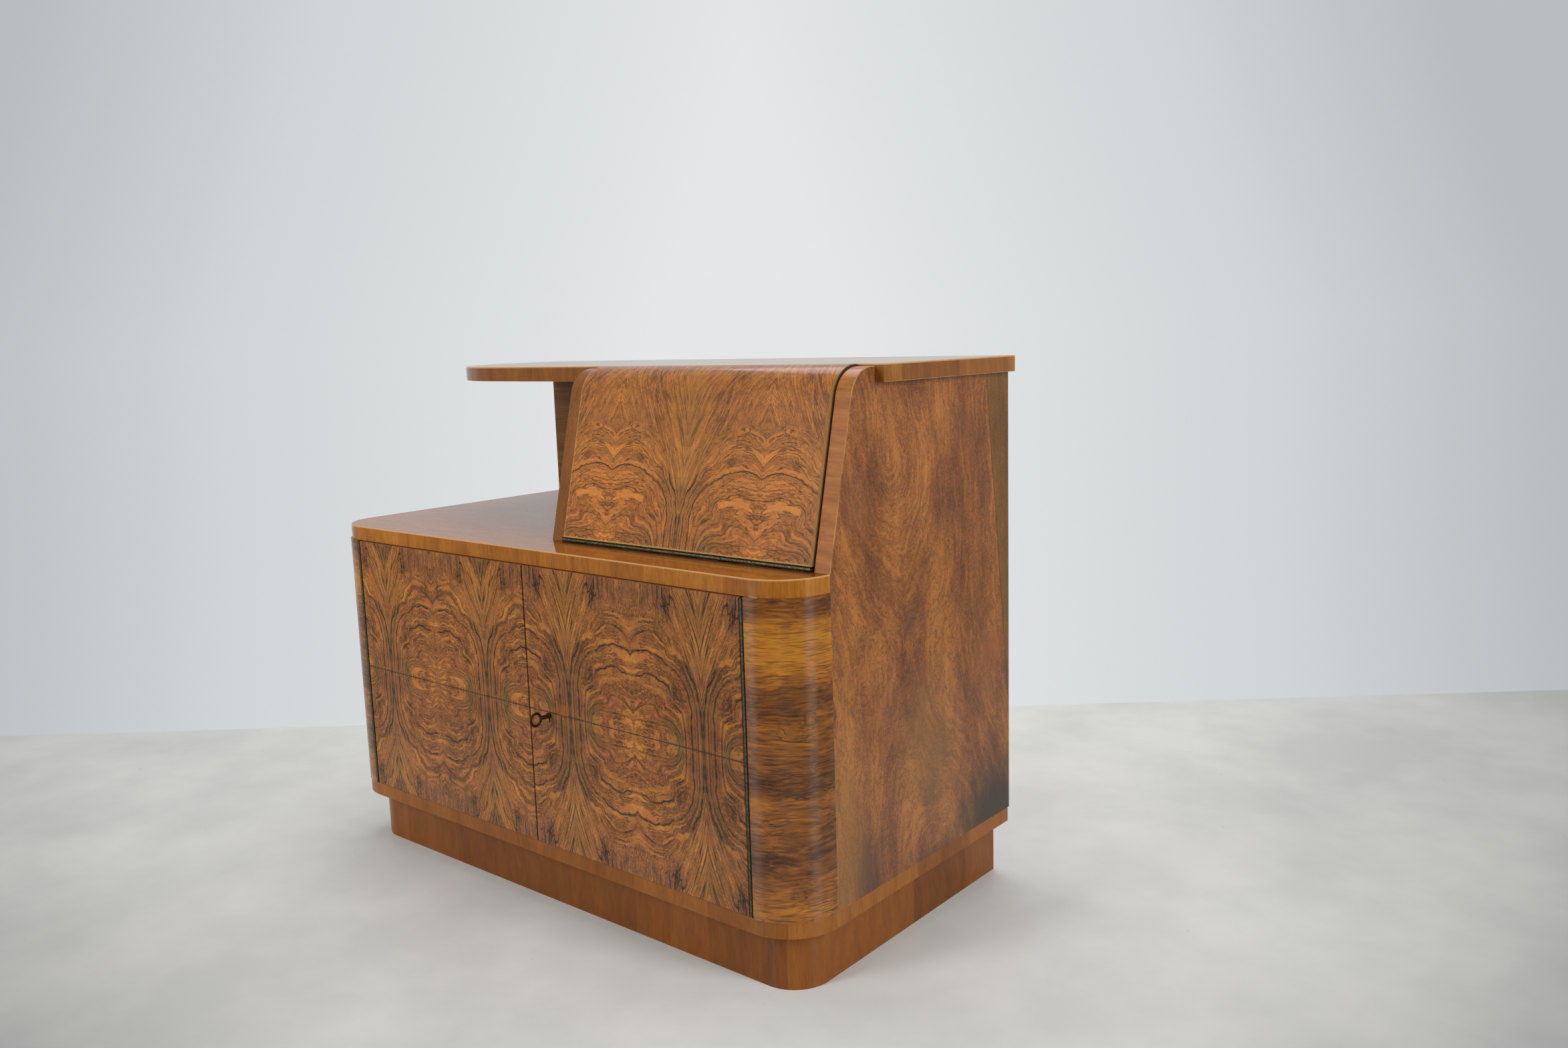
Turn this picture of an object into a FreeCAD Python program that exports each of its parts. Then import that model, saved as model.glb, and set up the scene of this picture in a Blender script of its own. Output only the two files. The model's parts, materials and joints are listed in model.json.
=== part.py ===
"""Cellarette (bar cabinet) in walnut veneer, built board by board.

Below, two doors on piano hinges close a cupboard with quarter-round front corners.
Above, at the right, a drop-front bar compartment leans back to a rounded shoulder;
at the left an open niche runs under the long upper board.

Millimetres. X runs to the right, Y to the back, Z up. The origin is the middle of the
cabinet's foot print on the floor.
"""
import FreeCAD
import Part
import math
import os

# ---------------------------------------------------------------- driving dimensions
cabinet_width = 1000.0            # over the two side panels
cabinet_depth = 520.0             # door faces to the back edges of the side panels

plinth_height = 83.0
bottom_board_thickness = 21.5
lower_opening = 419.0             # clear height of the cupboard
lower_top_thickness = 23.0
upper_opening = 230.0             # clear height of the niche and the bar compartment
upper_board_thickness = 23.5

side_thickness = 24.5
corner_radius = 79.0              # quarter-round front corners, outside
partition_thickness = 22.0
back_panel_thickness = 4.0
back_panel_rebate = 14.0          # how far the back panel is let into each side panel
upper_wall_thickness = 17.0
arris = 0.8                       # bevel on the edges that hands touch

bottom_board_inset = 2.0          # behind the door faces
lower_top_inset = 5.0             # behind the door faces

plinth_front_inset = 28.5
plinth_side_inset = 22.0
plinth_back_inset = 10.0
plinth_rail_thickness = 20.0
plinth_corner_radius = 55.0
glue_block_size = 32.0
glue_block_height = 50.0

front_lean_deg = 13.4             # how far the upper front leans back from upright
shoulder_radius = 45.0            # rounded shoulder of the upper panels
compartment_width = 472.5         # clear width of the bar compartment
upper_board_setback = 182.0       # its front edge, behind the door faces
upper_board_overhang = 13.5       # past the right side panel
upper_board_corner_radius = 228.0 # its free left front corner

door_thickness = 21.0
door_edge_gap = 1.0               # above and below each door
door_meeting_gap = 1.5
door_back_gap = 1.5               # between the closed doors and what stands behind them
door_stop_height = 14.0
door_stop_depth = 15.0
door_stop_end = 60.0              # the stops' inner ends, from the middle of the cabinet

flap_thickness = 20.0
flap_proud = 3.0                  # the flap's face stands this far before the panels
flap_side_gap = 1.5
flap_top_gap = 1.0

shelf_thickness = 20.0
shelf_height = 196.0              # top of the lower shelves above the bottom board
shelf_front_gap = 3.0             # behind the front edges of the side panels
shelf_back_gap = 1.0
cleat_height = 18.0
cleat_width = 12.0
cleat_setback = 25.0

glass_thickness = 6.0
glass_shelf_depth = 165.0
glass_shelf_height = 112.0        # underside above the lower top
mirror_thickness = 4.0
glass_end_gap = 1.0

# piano hinge stock, cut to length for the two doors and the flap
knuckle_radius = 3.0
knuckle_pitch = 36.5
knuckle_gap = 0.3
knuckle_sides = 12                # each rolled knuckle is drawn with this many flats
hinge_pin_radius = 1.2
hinge_leaf_thickness = 1.0
hinge_leaf_margin = 1.5           # leaf stops this far short of the wood's inner face
hinge_axis_depth = 2.0            # door hinge axis, behind the door faces
hinge_end_gap = 0.8

# lock let into the right door
key_height = 306.0                # key axis above the floor
key_backset = 43.25               # key axis from the door's free edge
lock_case_length = 66.0
lock_case_below = 22.0            # case below and above the key axis
lock_case_above = 26.0
lock_case_depth = 12.0
lock_wall = 1.2
lock_plate_thickness = 1.5
lock_plate_margin = 5.0
lock_bolt_height = 15.0
lock_bolt_thickness = 6.0
lock_bolt_lift = 4.5              # bolt's lower edge above the key axis
lock_bolt_throw = 8.0
strike_thickness = 1.2
strike_margin = 8.0
key_shank_radius = 3.0
key_bit_reach = 9.0
key_bit_thickness = 2.4
key_bit_width = 6.5
key_bow_radius = 11.0
key_bow_wire = 3.5
key_bow_filing = 1.05             # bevel on the bow's four edges
key_bow_stand_off = 25.0          # bow's centre before the door face
key_collar_radius = 4.6
key_collar_length = 2.5
drill_pin_radius = 1.3
keyhole_slot_drop = 11.0          # bottom of the keyhole's slot below its round head
escutcheon_wall = 1.2
escutcheon_depth = 4.0

# small bolts that hold the left door, top and bottom
bolt_inset = 30.0                 # rod axis from the left door's free edge
bolt_radius = 3.0
bolt_throw = 12.0
bolt_case_length = 46.0
bolt_case_width = 16.0
bolt_case_depth = 10.0
bolt_case_bevel = 2.0
bolt_case_end = 8.0               # case from the end of the door
bolt_axis_depth = 5.0             # rod axis behind the door's inner face
bolt_knob_radius = 2.2
bolt_knob_length = 8.0
keeper_length = 24.0
keeper_thickness = 1.2

tongue_thickness = 5.0            # loose tongues in the board joints
tongue_depth = 10.0               # in each board
tongue_stop = 35.0                # grooves stop this far short of a board's ends
shelf_pin_radius = 3.0
shelf_pin_depth = 11.0            # in the panel
shelf_pin_reach = 9.0             # under the glass
shelf_pin_inset = 30.0            # from the front and back edges of the glass

# ---------------------------------------------------------------- clearances
seam = 0.3                        # drawn joint between pieces that are fitted, not glued
running_clearance = 0.05          # pins and rods in their bores, on the radius
slide_clearance = 0.25            # flat bolt in its slots
key_clearance = 0.4               # key in the keyhole
groove_clearance = 0.1            # tongues in their grooves, and shelf pins in their holes
blind_clearance = 0.6             # beyond the end of a pin in a blind hole
past = 1.0                        # cutters run this far past the piece that they cut

# ---------------------------------------------------------------- derived places
side_x = cabinet_width / 2
inner_x = side_x - side_thickness
door_face_y = -cabinet_depth / 2
back_y = cabinet_depth / 2
door_inner_y = door_face_y + door_thickness
panel_front_y = door_face_y + corner_radius
board_back_y = back_y - back_panel_thickness
upper_wall_front_y = board_back_y - upper_wall_thickness
upper_board_front_y = door_face_y + upper_board_setback

bottom_board_top = plinth_height + bottom_board_thickness
lower_top_bottom = bottom_board_top + lower_opening
lower_top_top = lower_top_bottom + lower_top_thickness
upper_board_bottom = lower_top_top + upper_opening
total_height = upper_board_bottom + upper_board_thickness
shoulder_top = total_height - flap_proud

hinge_offset = knuckle_radius + seam          # hinge axis to the wood on either side
corner_centre_x = side_x - corner_radius      # the door hinge axes stand on this line
door_outer_x = corner_centre_x - hinge_offset
shell_edge_x = corner_centre_x + hinge_offset
door_hinge_y = door_face_y + hinge_axis_depth
door_bottom = bottom_board_top + door_edge_gap
door_top = lower_top_bottom - door_edge_gap
door_free_x = door_meeting_gap / 2
behind_doors_y = door_inner_y + door_back_gap

compartment_right_x = inner_x
compartment_left_x = inner_x - compartment_width
compartment_panel_left_x = compartment_left_x - side_thickness

lean = math.radians(front_lean_deg)
flap_hinge_z = lower_top_top + hinge_offset
flap_bottom = flap_hinge_z + hinge_offset
flap_left_x = compartment_left_x + flap_side_gap
flap_right_x = compartment_right_x - flap_side_gap

key_x = door_free_x + key_backset
key_z = key_height
lock_front_y = door_inner_y - lock_case_depth
lock_cap_y = door_inner_y - lock_plate_thickness
lock_bolt_y = (lock_front_y + lock_wall + lock_cap_y) / 2 - lock_bolt_thickness / 2
lock_bolt_bottom = key_z + lock_bolt_lift
lock_bolt_top = lock_bolt_bottom + lock_bolt_height
bolt_x = -door_free_x - bolt_inset
bolt_y = door_inner_y + bolt_axis_depth


# ---------------------------------------------------------------- small helpers
def vector(x, y, z):
    return FreeCAD.Vector(x, y, z)


def box(x0, x1, y0, y1, z0, z1):
    return Part.makeBox(x1 - x0, y1 - y0, z1 - z0, vector(x0, y0, z0))


def rod(radius, start, end):
    """Round bar from one point to another."""
    run = end.sub(start)
    return Part.makeCylinder(radius, run.Length, start, run)


def rounded_wire(corners, place):
    """Closed outline of (u, v, rounding) corners; place turns (u, v) into a point."""
    pieces = []
    count = len(corners)
    for i, (u, v, radius) in enumerate(corners):
        here = vector(u, v, 0)
        before = vector(corners[i - 1][0], corners[i - 1][1], 0).sub(here).normalize()
        after = vector(corners[(i + 1) % count][0], corners[(i + 1) % count][1], 0).sub(here)
        after.normalize()
        if radius <= 0:
            pieces.append((here, here, here))
            continue
        half_angle = before.getAngle(after) / 2
        reach = radius / math.tan(half_angle)
        middle = before.add(after).normalize()
        crown = middle.multiply(radius / math.sin(half_angle) - radius)
        pieces.append((here.add(before * reach), here.add(crown), here.add(after * reach)))

    def spot(point):
        return place(point.x, point.y)

    edges = []
    for i, (start, crown, end) in enumerate(pieces):
        if start.distanceToPoint(end) > 1e-6:
            edges.append(Part.Arc(spot(start), spot(crown), spot(end)).toShape())
        following = pieces[(i + 1) % count][0]
        if end.distanceToPoint(following) > 1e-6:
            edges.append(Part.LineSegment(spot(end), spot(following)).toShape())
    return Part.Wire(edges)


def plan_prism(corners, z0, z1):
    """Board cut to a plan outline of (x, y, rounding)."""
    wire = rounded_wire(corners, lambda u, v: vector(u, v, z0))
    return Part.Face(wire).extrude(vector(0, 0, z1 - z0))


def side_prism(corners, x0, x1):
    """Board cut to a side outline of (y, z, rounding)."""
    wire = rounded_wire(corners, lambda u, v: vector(x0, u, v))
    return Part.Face(wire).extrude(vector(x1 - x0, 0, 0))


def soften(shape, chosen, width=arris):
    """Bevel the edges for which chosen(bounding box) is true."""
    edges = [edge for edge in shape.Edges if chosen(edge.BoundBox)]
    return shape.makeChamfer(width, edges)


def mirrored(shape):
    """The same piece for the other side of the cabinet."""
    return shape.mirror(vector(0, 0, 0), vector(1, 0, 0))


def near(a, b):
    return abs(a - b) < 1e-3


def group(shapes):
    return Part.makeCompound(shapes)


# ---------------------------------------------------------------- loose tongues
def tongue(start, end, across, into, grow):
    """Strip along a joint from start to end, let into the boards on both sides of it."""
    run = end.sub(start).normalize()
    half = across * (tongue_thickness / 2 + grow) + into * (tongue_depth + grow) + run * grow
    low = start.sub(half)
    high = end.add(half)
    return box(low.x, high.x, low.y, high.y, low.z, high.z)


def tongue_strips(grow):
    """All the carcass tongues; grow widens them into their grooves."""
    along_x = vector(1, 0, 0)
    along_y = vector(0, 1, 0)
    along_z = vector(0, 0, 1)
    side_mid_x = side_x - side_thickness / 2
    panel_mid_x = compartment_left_x - side_thickness / 2
    wall_mid_y = board_back_y - upper_wall_thickness / 2
    top_mid_z = lower_top_top - lower_top_thickness / 2
    front = panel_front_y + tongue_stop
    back = board_back_y - tongue_stop
    upper_front = upper_board_front_y + tongue_stop
    upper_back = upper_wall_front_y - tongue_stop
    low = bottom_board_top + tongue_stop
    high = lower_top_bottom - tongue_stop
    left_end = -side_x + tongue_stop
    right_end = inner_x - tongue_stop

    def standing(x, z, y0, y1):
        return tongue(vector(x, y0, z), vector(x, y1, z), along_x, along_z, grow)

    strips = [standing(-side_mid_x, bottom_board_top, front, back),
              standing(side_mid_x, bottom_board_top, front, back),
              standing(-side_mid_x, lower_top_bottom, front, back),
              standing(0, bottom_board_top, front, back),
              standing(0, lower_top_bottom, front, back),
              standing(panel_mid_x, lower_top_top, front, upper_back),
              standing(panel_mid_x, upper_board_bottom, upper_front, upper_back),
              standing(side_mid_x, upper_board_bottom, upper_front, back)]
    strips.append(tongue(vector(inner_x, front, top_mid_z), vector(inner_x, back, top_mid_z),
                         along_z, along_x, grow))
    for z in (lower_top_top, upper_board_bottom):
        strips.append(tongue(vector(left_end, wall_mid_y, z), vector(right_end, wall_mid_y, z),
                             along_y, along_z, grow))
    for x in (-side_mid_x, side_mid_x):
        strips.append(tongue(vector(x, panel_front_y, low), vector(x, panel_front_y, high),
                             along_x, along_y, grow))
    return group(strips)


grooves = tongue_strips(groove_clearance)


def carcass_tongues():
    return tongue_strips(0)


# ---------------------------------------------------------------- plinth
plinth_x = side_x - plinth_side_inset
plinth_front_y = door_face_y + plinth_front_inset
plinth_back_y = back_y - plinth_back_inset
plinth_turn_x = plinth_x - plinth_corner_radius
plinth_turn_y = plinth_front_y + plinth_corner_radius
plinth_inner_x = plinth_x - plinth_rail_thickness
plinth_inner_front_y = plinth_front_y + plinth_rail_thickness
plinth_inner_back_y = plinth_back_y - plinth_rail_thickness


def plinth_front_rail():
    return box(-plinth_turn_x, plinth_turn_x, plinth_front_y, plinth_inner_front_y, 0, plinth_height)


def plinth_right_corner():
    """Solid quarter-round block between the front rail and the side rail."""
    centre = vector(plinth_turn_x, plinth_turn_y, 0)
    return Part.makeCylinder(plinth_corner_radius, plinth_height, centre, vector(0, 0, 1), 90).rotate(
        centre, vector(0, 0, 1), -90)


def plinth_right_rail():
    return box(plinth_inner_x, plinth_x, plinth_turn_y, plinth_back_y, 0, plinth_height)


def plinth_back_rail():
    return box(-plinth_inner_x, plinth_inner_x, plinth_inner_back_y, plinth_back_y, 0, plinth_height)


def plinth_centre_rail():
    half = plinth_rail_thickness / 2
    return box(-half, half, plinth_inner_front_y, plinth_inner_back_y, 0, plinth_height)


def plinth_glue_blocks():
    """Triangular blocks in the inner corners, tight under the bottom board."""
    foot = plinth_height - glue_block_height
    half = plinth_rail_thickness / 2
    corners = []
    for x, y, way_x, way_y in ((plinth_inner_x, plinth_inner_back_y, -1, -1),
                               (half, plinth_inner_back_y, 1, -1),
                               (half, plinth_inner_front_y, 1, 1)):
        for side in (-1, 1):
            outline = [(side * x, y, 0),
                       (side * (x + way_x * glue_block_size), y, 0),
                       (side * x, y + way_y * glue_block_size, 0)]
            corners.append(plan_prism(outline, foot, plinth_height))
    return group(corners)


# ---------------------------------------------------------------- carcass boards
def board_plan(inset, right_x, left_x, back):
    """Plan outline with the cabinet's two rounded front corners, set in by inset."""
    front = door_face_y + inset
    turn = corner_radius - inset
    return [(left_x, front, turn), (right_x, front, turn), (right_x, back, 0), (left_x, back, 0)]


def bottom_board():
    board = plan_prism(board_plan(bottom_board_inset, side_x, -side_x, board_back_y),
                       plinth_height, bottom_board_top)
    board = board.cut(grooves)
    return board.cut(keeper_cut(-1))


def lower_top():
    """Runs over the left panel; its right end stops against the tall right panel."""
    board = plan_prism(board_plan(lower_top_inset, side_x, -side_x, board_back_y),
                       lower_top_bottom, lower_top_top)
    panel_room = box(inner_x, side_x + past, panel_front_y - seam, back_y + past,
                     lower_top_bottom - past, lower_top_top + past)
    board = board.cut(panel_room)
    front = door_face_y + lower_top_inset
    board = soften(board, lambda b: near(b.ZMin, lower_top_top) and near(b.ZMax, lower_top_top)
                   and b.YMin < front + corner_radius and b.YMax < panel_front_y + seam)
    board = board.cut(grooves)
    return board.cut(keeper_cut(1))


def left_side_panel():
    panel = box(-side_x, -inner_x, panel_front_y, back_y, bottom_board_top, lower_top_bottom)
    panel = panel.cut(back_panel_room())
    return panel.cut(grooves)


def lean_y(height, offset):
    """Y of the leaning front at a height, offset outwards by a distance."""
    rise = height - lower_top_top
    return panel_front_y + rise * math.tan(lean) - offset / math.cos(lean)


def upper_profile_front(offset):
    """Shoulder of the leaning front, from its rounded corner to the upper board."""
    crest = shoulder_top + offset
    return (lean_y(crest, offset), crest, shoulder_radius + offset)


def right_side_panel():
    """One tall panel: upright beside the cupboard, then leaning back to the shoulder."""
    step_y = upper_board_front_y - seam
    outline = [(panel_front_y, bottom_board_top, 0),
               (panel_front_y, lower_top_top, 0),
               upper_profile_front(0),
               (step_y, shoulder_top, 0),
               (step_y, upper_board_bottom, 0),
               (back_y, upper_board_bottom, 0),
               (back_y, bottom_board_top, 0)]
    panel = side_prism(outline, inner_x, side_x)
    panel = soften(panel, lambda b: near(b.XMin, side_x) and near(b.XMax, side_x)
                   and b.ZMin >= lower_top_top - seam and b.YMax < step_y + seam and b.ZMax > b.ZMin
                   and not near(b.YMin, b.YMax))
    panel = panel.cut(back_panel_room())
    panel = panel.cut(glass_pin_bars(shelf_pin_radius + groove_clearance, blind_clearance))
    return panel.cut(grooves)


def compartment_panel():
    """Left wall of the bar compartment, standing on the lower top."""
    step_y = upper_board_front_y - seam
    outline = [(panel_front_y, lower_top_top, 0),
               upper_profile_front(0),
               (step_y, shoulder_top, 0),
               (step_y, upper_board_bottom, 0),
               (upper_wall_front_y, upper_board_bottom, 0),
               (upper_wall_front_y, lower_top_top, 0)]
    panel = side_prism(outline, compartment_panel_left_x, compartment_left_x)
    panel = panel.cut(glass_pin_bars(shelf_pin_radius + groove_clearance, blind_clearance))
    return panel.cut(grooves)


def right_corner_shell():
    """Quarter-round shell between the side panel and the door's hinge."""
    foot = vector(corner_centre_x, panel_front_y, bottom_board_top)
    shell = Part.makeCylinder(corner_radius, lower_opening, foot)
    shell = shell.cut(Part.makeCylinder(corner_radius - side_thickness, lower_opening, foot))
    quarter = box(shell_edge_x, side_x, door_face_y, panel_front_y, bottom_board_top, lower_top_bottom)
    return shell.common(quarter).cut(grooves)


def left_corner_shell():
    return mirrored(right_corner_shell())


def centre_partition():
    half = partition_thickness / 2
    panel = box(-half, half, behind_doors_y, board_back_y, bottom_board_top, lower_top_bottom)
    return panel.cut(grooves)


def back_panel_room():
    """Rebates in the side panels that take the plywood back."""
    reach = inner_x + back_panel_rebate + seam
    return box(-reach, reach, board_back_y, back_y + past, bottom_board_top - past, lower_top_top)


def lower_back_panel():
    """Plywood back, nailed over the rear edges of the boards."""
    reach = inner_x + back_panel_rebate
    return box(-reach, reach, board_back_y, back_y, bottom_board_top, lower_top_bottom)


def upper_back_wall():
    wall = box(-side_x, inner_x, upper_wall_front_y, board_back_y, lower_top_top, upper_board_bottom)
    return wall.cut(grooves)


def upper_board():
    """Long top, cantilevered over the niche from the back wall and the compartment."""
    right = side_x + upper_board_overhang
    outline = [(-side_x, upper_board_front_y, upper_board_corner_radius),
               (right, upper_board_front_y, 0), (right, board_back_y, 0), (-side_x, board_back_y, 0)]
    board = plan_prism(outline, upper_board_bottom, total_height)
    board = soften(board, lambda b: near(b.ZMin, b.ZMax) and not near(b.YMin, board_back_y))
    return board.cut(grooves)


# ---------------------------------------------------------------- shelves and stops
shelf_top = bottom_board_top + shelf_height
shelf_bottom = shelf_top - shelf_thickness
shelf_front_y = panel_front_y + shelf_front_gap


def right_shelf():
    left = partition_thickness / 2 + seam
    return box(left, inner_x - seam, shelf_front_y, board_back_y - shelf_back_gap, shelf_bottom, shelf_top)


def left_shelf():
    return mirrored(right_shelf())


def shelf_cleats():
    """Strips that carry the shelves, with their front ends cut back."""
    front = shelf_front_y + cleat_setback
    back = board_back_y - shelf_back_gap
    foot = shelf_bottom - cleat_height
    outline = [(front, shelf_bottom, 0), (back, shelf_bottom, 0), (back, foot, 0),
               (front + cleat_height, foot, 0)]
    half = partition_thickness / 2
    cleats = [side_prism(outline, inner_x - cleat_width, inner_x),
              side_prism(outline, half, half + cleat_width)]
    return group(cleats + [mirrored(cleat) for cleat in cleats])


def right_door_stop():
    """Strip under the lower top that the closed door comes to rest against."""
    return box(door_stop_end, corner_centre_x - side_thickness, behind_doors_y,
               behind_doors_y + door_stop_depth, lower_top_bottom - door_stop_height, lower_top_bottom)


def left_door_stop():
    return mirrored(right_door_stop())


# ---------------------------------------------------------------- bar compartment fittings
glass_shelf_bottom = lower_top_top + glass_shelf_height
glass_back_y = upper_wall_front_y - mirror_thickness - glass_end_gap
glass_front_y = glass_back_y - glass_shelf_depth


def mirror():
    return box(compartment_left_x + seam, compartment_right_x - seam,
               upper_wall_front_y - mirror_thickness, upper_wall_front_y,
               lower_top_top + seam, upper_board_bottom - seam)


def glass_shelf():
    shelf = box(compartment_left_x + glass_end_gap, compartment_right_x - glass_end_gap,
                glass_front_y, glass_back_y, glass_shelf_bottom, glass_shelf_bottom + glass_thickness)
    return soften(shelf, lambda b: near(b.YMin, glass_front_y) and near(b.YMax, glass_front_y)
                  and near(b.ZMin, b.ZMax))


def glass_pin_bars(radius, extra):
    """Pins in both walls of the compartment; extra deepens them into the wood."""
    height = glass_shelf_bottom - seam - shelf_pin_radius
    bars = []
    for y in (glass_front_y + shelf_pin_inset, glass_back_y - shelf_pin_inset):
        for wall, into in ((compartment_left_x, -1), (compartment_right_x, 1)):
            bars.append(rod(radius, vector(wall + into * (shelf_pin_depth + extra), y, height),
                            vector(wall - into * shelf_pin_reach, y, height)))
    return group(bars)


def glass_shelf_pins():
    return glass_pin_bars(shelf_pin_radius, 0)


# ---------------------------------------------------------------- piano hinges
def knuckle_spans(length):
    """Alternating knuckles along a hinge: (start, end, which leaf), a half one first."""
    spans = []
    start = 0.0
    end = knuckle_pitch / 2
    leaf = 0
    while start < length - knuckle_pitch / 4:
        if end > length - knuckle_pitch / 4:
            end = length
        spans.append((start, min(end, length), leaf))
        start = end
        end = start + knuckle_pitch
        leaf = 1 - leaf
    return spans


def many_sided_bar(across_radius, sides, z0, z1):
    """Upright bar of regular section, with its corners on across_radius."""
    corners = []
    for i in range(sides):
        angle = 2 * math.pi * (i + 0.5) / sides
        corners.append((across_radius * math.cos(angle), across_radius * math.sin(angle), 0))
    return plan_prism(corners, z0, z1)


def hinge_leaf(length, width, leaf, side):
    """One leaf with its knuckles, along Z. The leaf lies on the side (+1 or -1) of the
    axis in X, against the wood, and runs back along +Y."""
    inner = side * (hinge_offset - hinge_leaf_thickness)
    outer = side * hinge_offset
    root = hinge_offset + knuckle_gap
    low_x = min(inner, outer)
    high_x = max(inner, outer)
    piece = box(low_x, high_x, root, width, 0, length)
    knuckles = []
    for start, end, owner in knuckle_spans(length):
        if owner != leaf:
            continue
        z0 = start + knuckle_gap / 2
        z1 = end - knuckle_gap / 2
        knuckles.append(many_sided_bar(knuckle_radius, knuckle_sides, z0, z1))
        knuckles.append(box(low_x, high_x, 0, root, z0, z1))
    piece = piece.multiFuse(knuckles).removeSplitter()
    bore_radius = (hinge_pin_radius + running_clearance) / math.cos(math.pi / knuckle_sides)
    return piece.cut(many_sided_bar(bore_radius, knuckle_sides, -past, length + past))


def hinge_pin(length):
    return rod(hinge_pin_radius, vector(0, 0, 0), vector(0, 0, length))


def at_right_door(shape):
    """Stands a hinge piece on the right door's axis, first knuckle at the top."""
    top = door_top - hinge_end_gap
    turned = shape.copy()
    turned.rotate(vector(0, 0, 0), vector(0, 1, 0), 180)
    turned.translate(vector(corner_centre_x, door_hinge_y, top))
    return turned


door_hinge_length = door_top - door_bottom - 2 * hinge_end_gap
door_leaf_width = door_thickness - hinge_axis_depth - hinge_leaf_margin


def right_hinge_frame_leaf():
    return at_right_door(hinge_leaf(door_hinge_length, door_leaf_width, 0, -1))


def right_hinge_door_leaf():
    return at_right_door(hinge_leaf(door_hinge_length, door_leaf_width, 1, 1))


def right_hinge_pin():
    return at_right_door(hinge_pin(door_hinge_length))


flap_outer_bottom_y = lean_y(flap_bottom, flap_proud)
flap_hinge_y = flap_outer_bottom_y - hinge_leaf_thickness
flap_hinge_length = flap_right_x - flap_left_x - 2 * hinge_end_gap
flap_leaf_width = flap_thickness - hinge_leaf_margin


def at_flap(shape):
    """Lays a hinge piece under the flap, along X."""
    turned = shape.copy()
    turned.rotate(vector(0, 0, 0), vector(0, 1, 0), 90)
    turned.translate(vector(flap_left_x + hinge_end_gap, flap_hinge_y, flap_hinge_z))
    return turned


def flap_hinge_frame_leaf():
    return at_flap(hinge_leaf(flap_hinge_length, flap_leaf_width, 0, 1))


def flap_hinge_flap_leaf():
    return at_flap(hinge_leaf(flap_hinge_length, flap_leaf_width, 1, -1))


def flap_hinge_pin():
    return at_flap(hinge_pin(flap_hinge_length))


# ---------------------------------------------------------------- flap
def flap():
    """Drop front that follows the leaning panels and curls over the shoulder."""
    end_y = upper_board_front_y - flap_top_gap
    inside = flap_proud - flap_thickness
    outline = [(flap_outer_bottom_y, flap_bottom, 0),
               upper_profile_front(flap_proud),
               (end_y, total_height, 0),
               (end_y, total_height - flap_thickness, 0),
               upper_profile_front(inside),
               (lean_y(flap_bottom, inside), flap_bottom, 0)]
    panel = side_prism(outline, flap_left_x, flap_right_x)
    return soften(panel, lambda b: near(b.XMin, b.XMax) and not near(b.ZMax, flap_bottom)
                  and on_outer_face(b))


def on_outer_face(bounds):
    """True for the end edges that lie on the flap's outer face."""
    outer = lean_y((bounds.ZMin + bounds.ZMax) / 2, flap_proud)
    middle = (bounds.YMin + bounds.YMax) / 2
    return abs(middle - outer) < flap_proud / 2 or near(bounds.ZMax, total_height)


# ---------------------------------------------------------------- doors
def door_blank():
    """Right door before its lock is let in."""
    blank = box(door_free_x, door_outer_x, door_face_y, door_inner_y, door_bottom, door_top)
    return soften(blank, lambda b: near(b.YMin, door_face_y) and near(b.YMax, door_face_y))


def keyhole(head_radius, slot_half, y0, y1):
    """Round head with a slot below it, for the key's bit."""
    head = rod(head_radius, vector(key_x, y0, key_z), vector(key_x, y1, key_z))
    slot = box(key_x - slot_half, key_x + slot_half, y0, y1,
               key_z - keyhole_slot_drop - (head_radius - key_head_radius), key_z)
    return head.fuse(slot)


key_head_radius = key_shank_radius + key_clearance
key_slot_half = key_bit_thickness / 2 + key_clearance
lock_left_x = door_free_x + lock_plate_thickness
lock_right_x = door_free_x + lock_case_length
lock_low_z = key_z - lock_case_below
lock_high_z = key_z + lock_case_above
plate_low_z = lock_low_z - lock_plate_margin
plate_high_z = lock_high_z + lock_plate_margin


def right_door():
    door = door_blank()
    pocket = box(lock_left_x, lock_right_x + seam, lock_front_y, door_inner_y,
                 lock_low_z - seam, lock_high_z + seam)
    plate_room = box(door_free_x, lock_right_x + lock_plate_margin, lock_cap_y, door_inner_y,
                     plate_low_z, plate_high_z)
    edge_room = box(door_free_x, lock_left_x, lock_front_y, door_inner_y, plate_low_z, plate_high_z)
    door = door.cut(pocket)
    door = door.cut(plate_room)
    door = door.cut(edge_room)
    wall = escutcheon_wall
    door = door.cut(keyhole(key_head_radius, key_slot_half, door_face_y - past, lock_front_y + past))
    return door.cut(keyhole(key_head_radius + wall, key_slot_half + wall,
                            door_face_y - past, door_face_y + escutcheon_depth))


def left_door():
    door = mirrored(door_blank())
    plate_room = box(-door_free_x - strike_thickness, -door_free_x, lock_front_y, door_inner_y,
                     lock_bolt_bottom - strike_margin, lock_bolt_top + strike_margin)
    bolt_room = bolt_slot(-door_free_x - lock_bolt_throw - blind_clearance, -door_free_x)
    return door.cut(plate_room).cut(bolt_room)


# ---------------------------------------------------------------- lock
def bolt_slot(x0, x1):
    """Opening that the lock bolt slides through."""
    room = slide_clearance
    return box(x0, x1, lock_bolt_y - room, lock_bolt_y + lock_bolt_thickness + room,
               lock_bolt_bottom - room, lock_bolt_top + room)


def escutcheon():
    """Keyhole-shaped brass liner, flush with the door's face."""
    back = door_face_y + escutcheon_depth
    wall = escutcheon_wall
    outside = keyhole(key_head_radius + wall, key_slot_half + wall, door_face_y, back)
    return outside.cut(keyhole(key_head_radius, key_slot_half, door_face_y - past, back + past))


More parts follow.
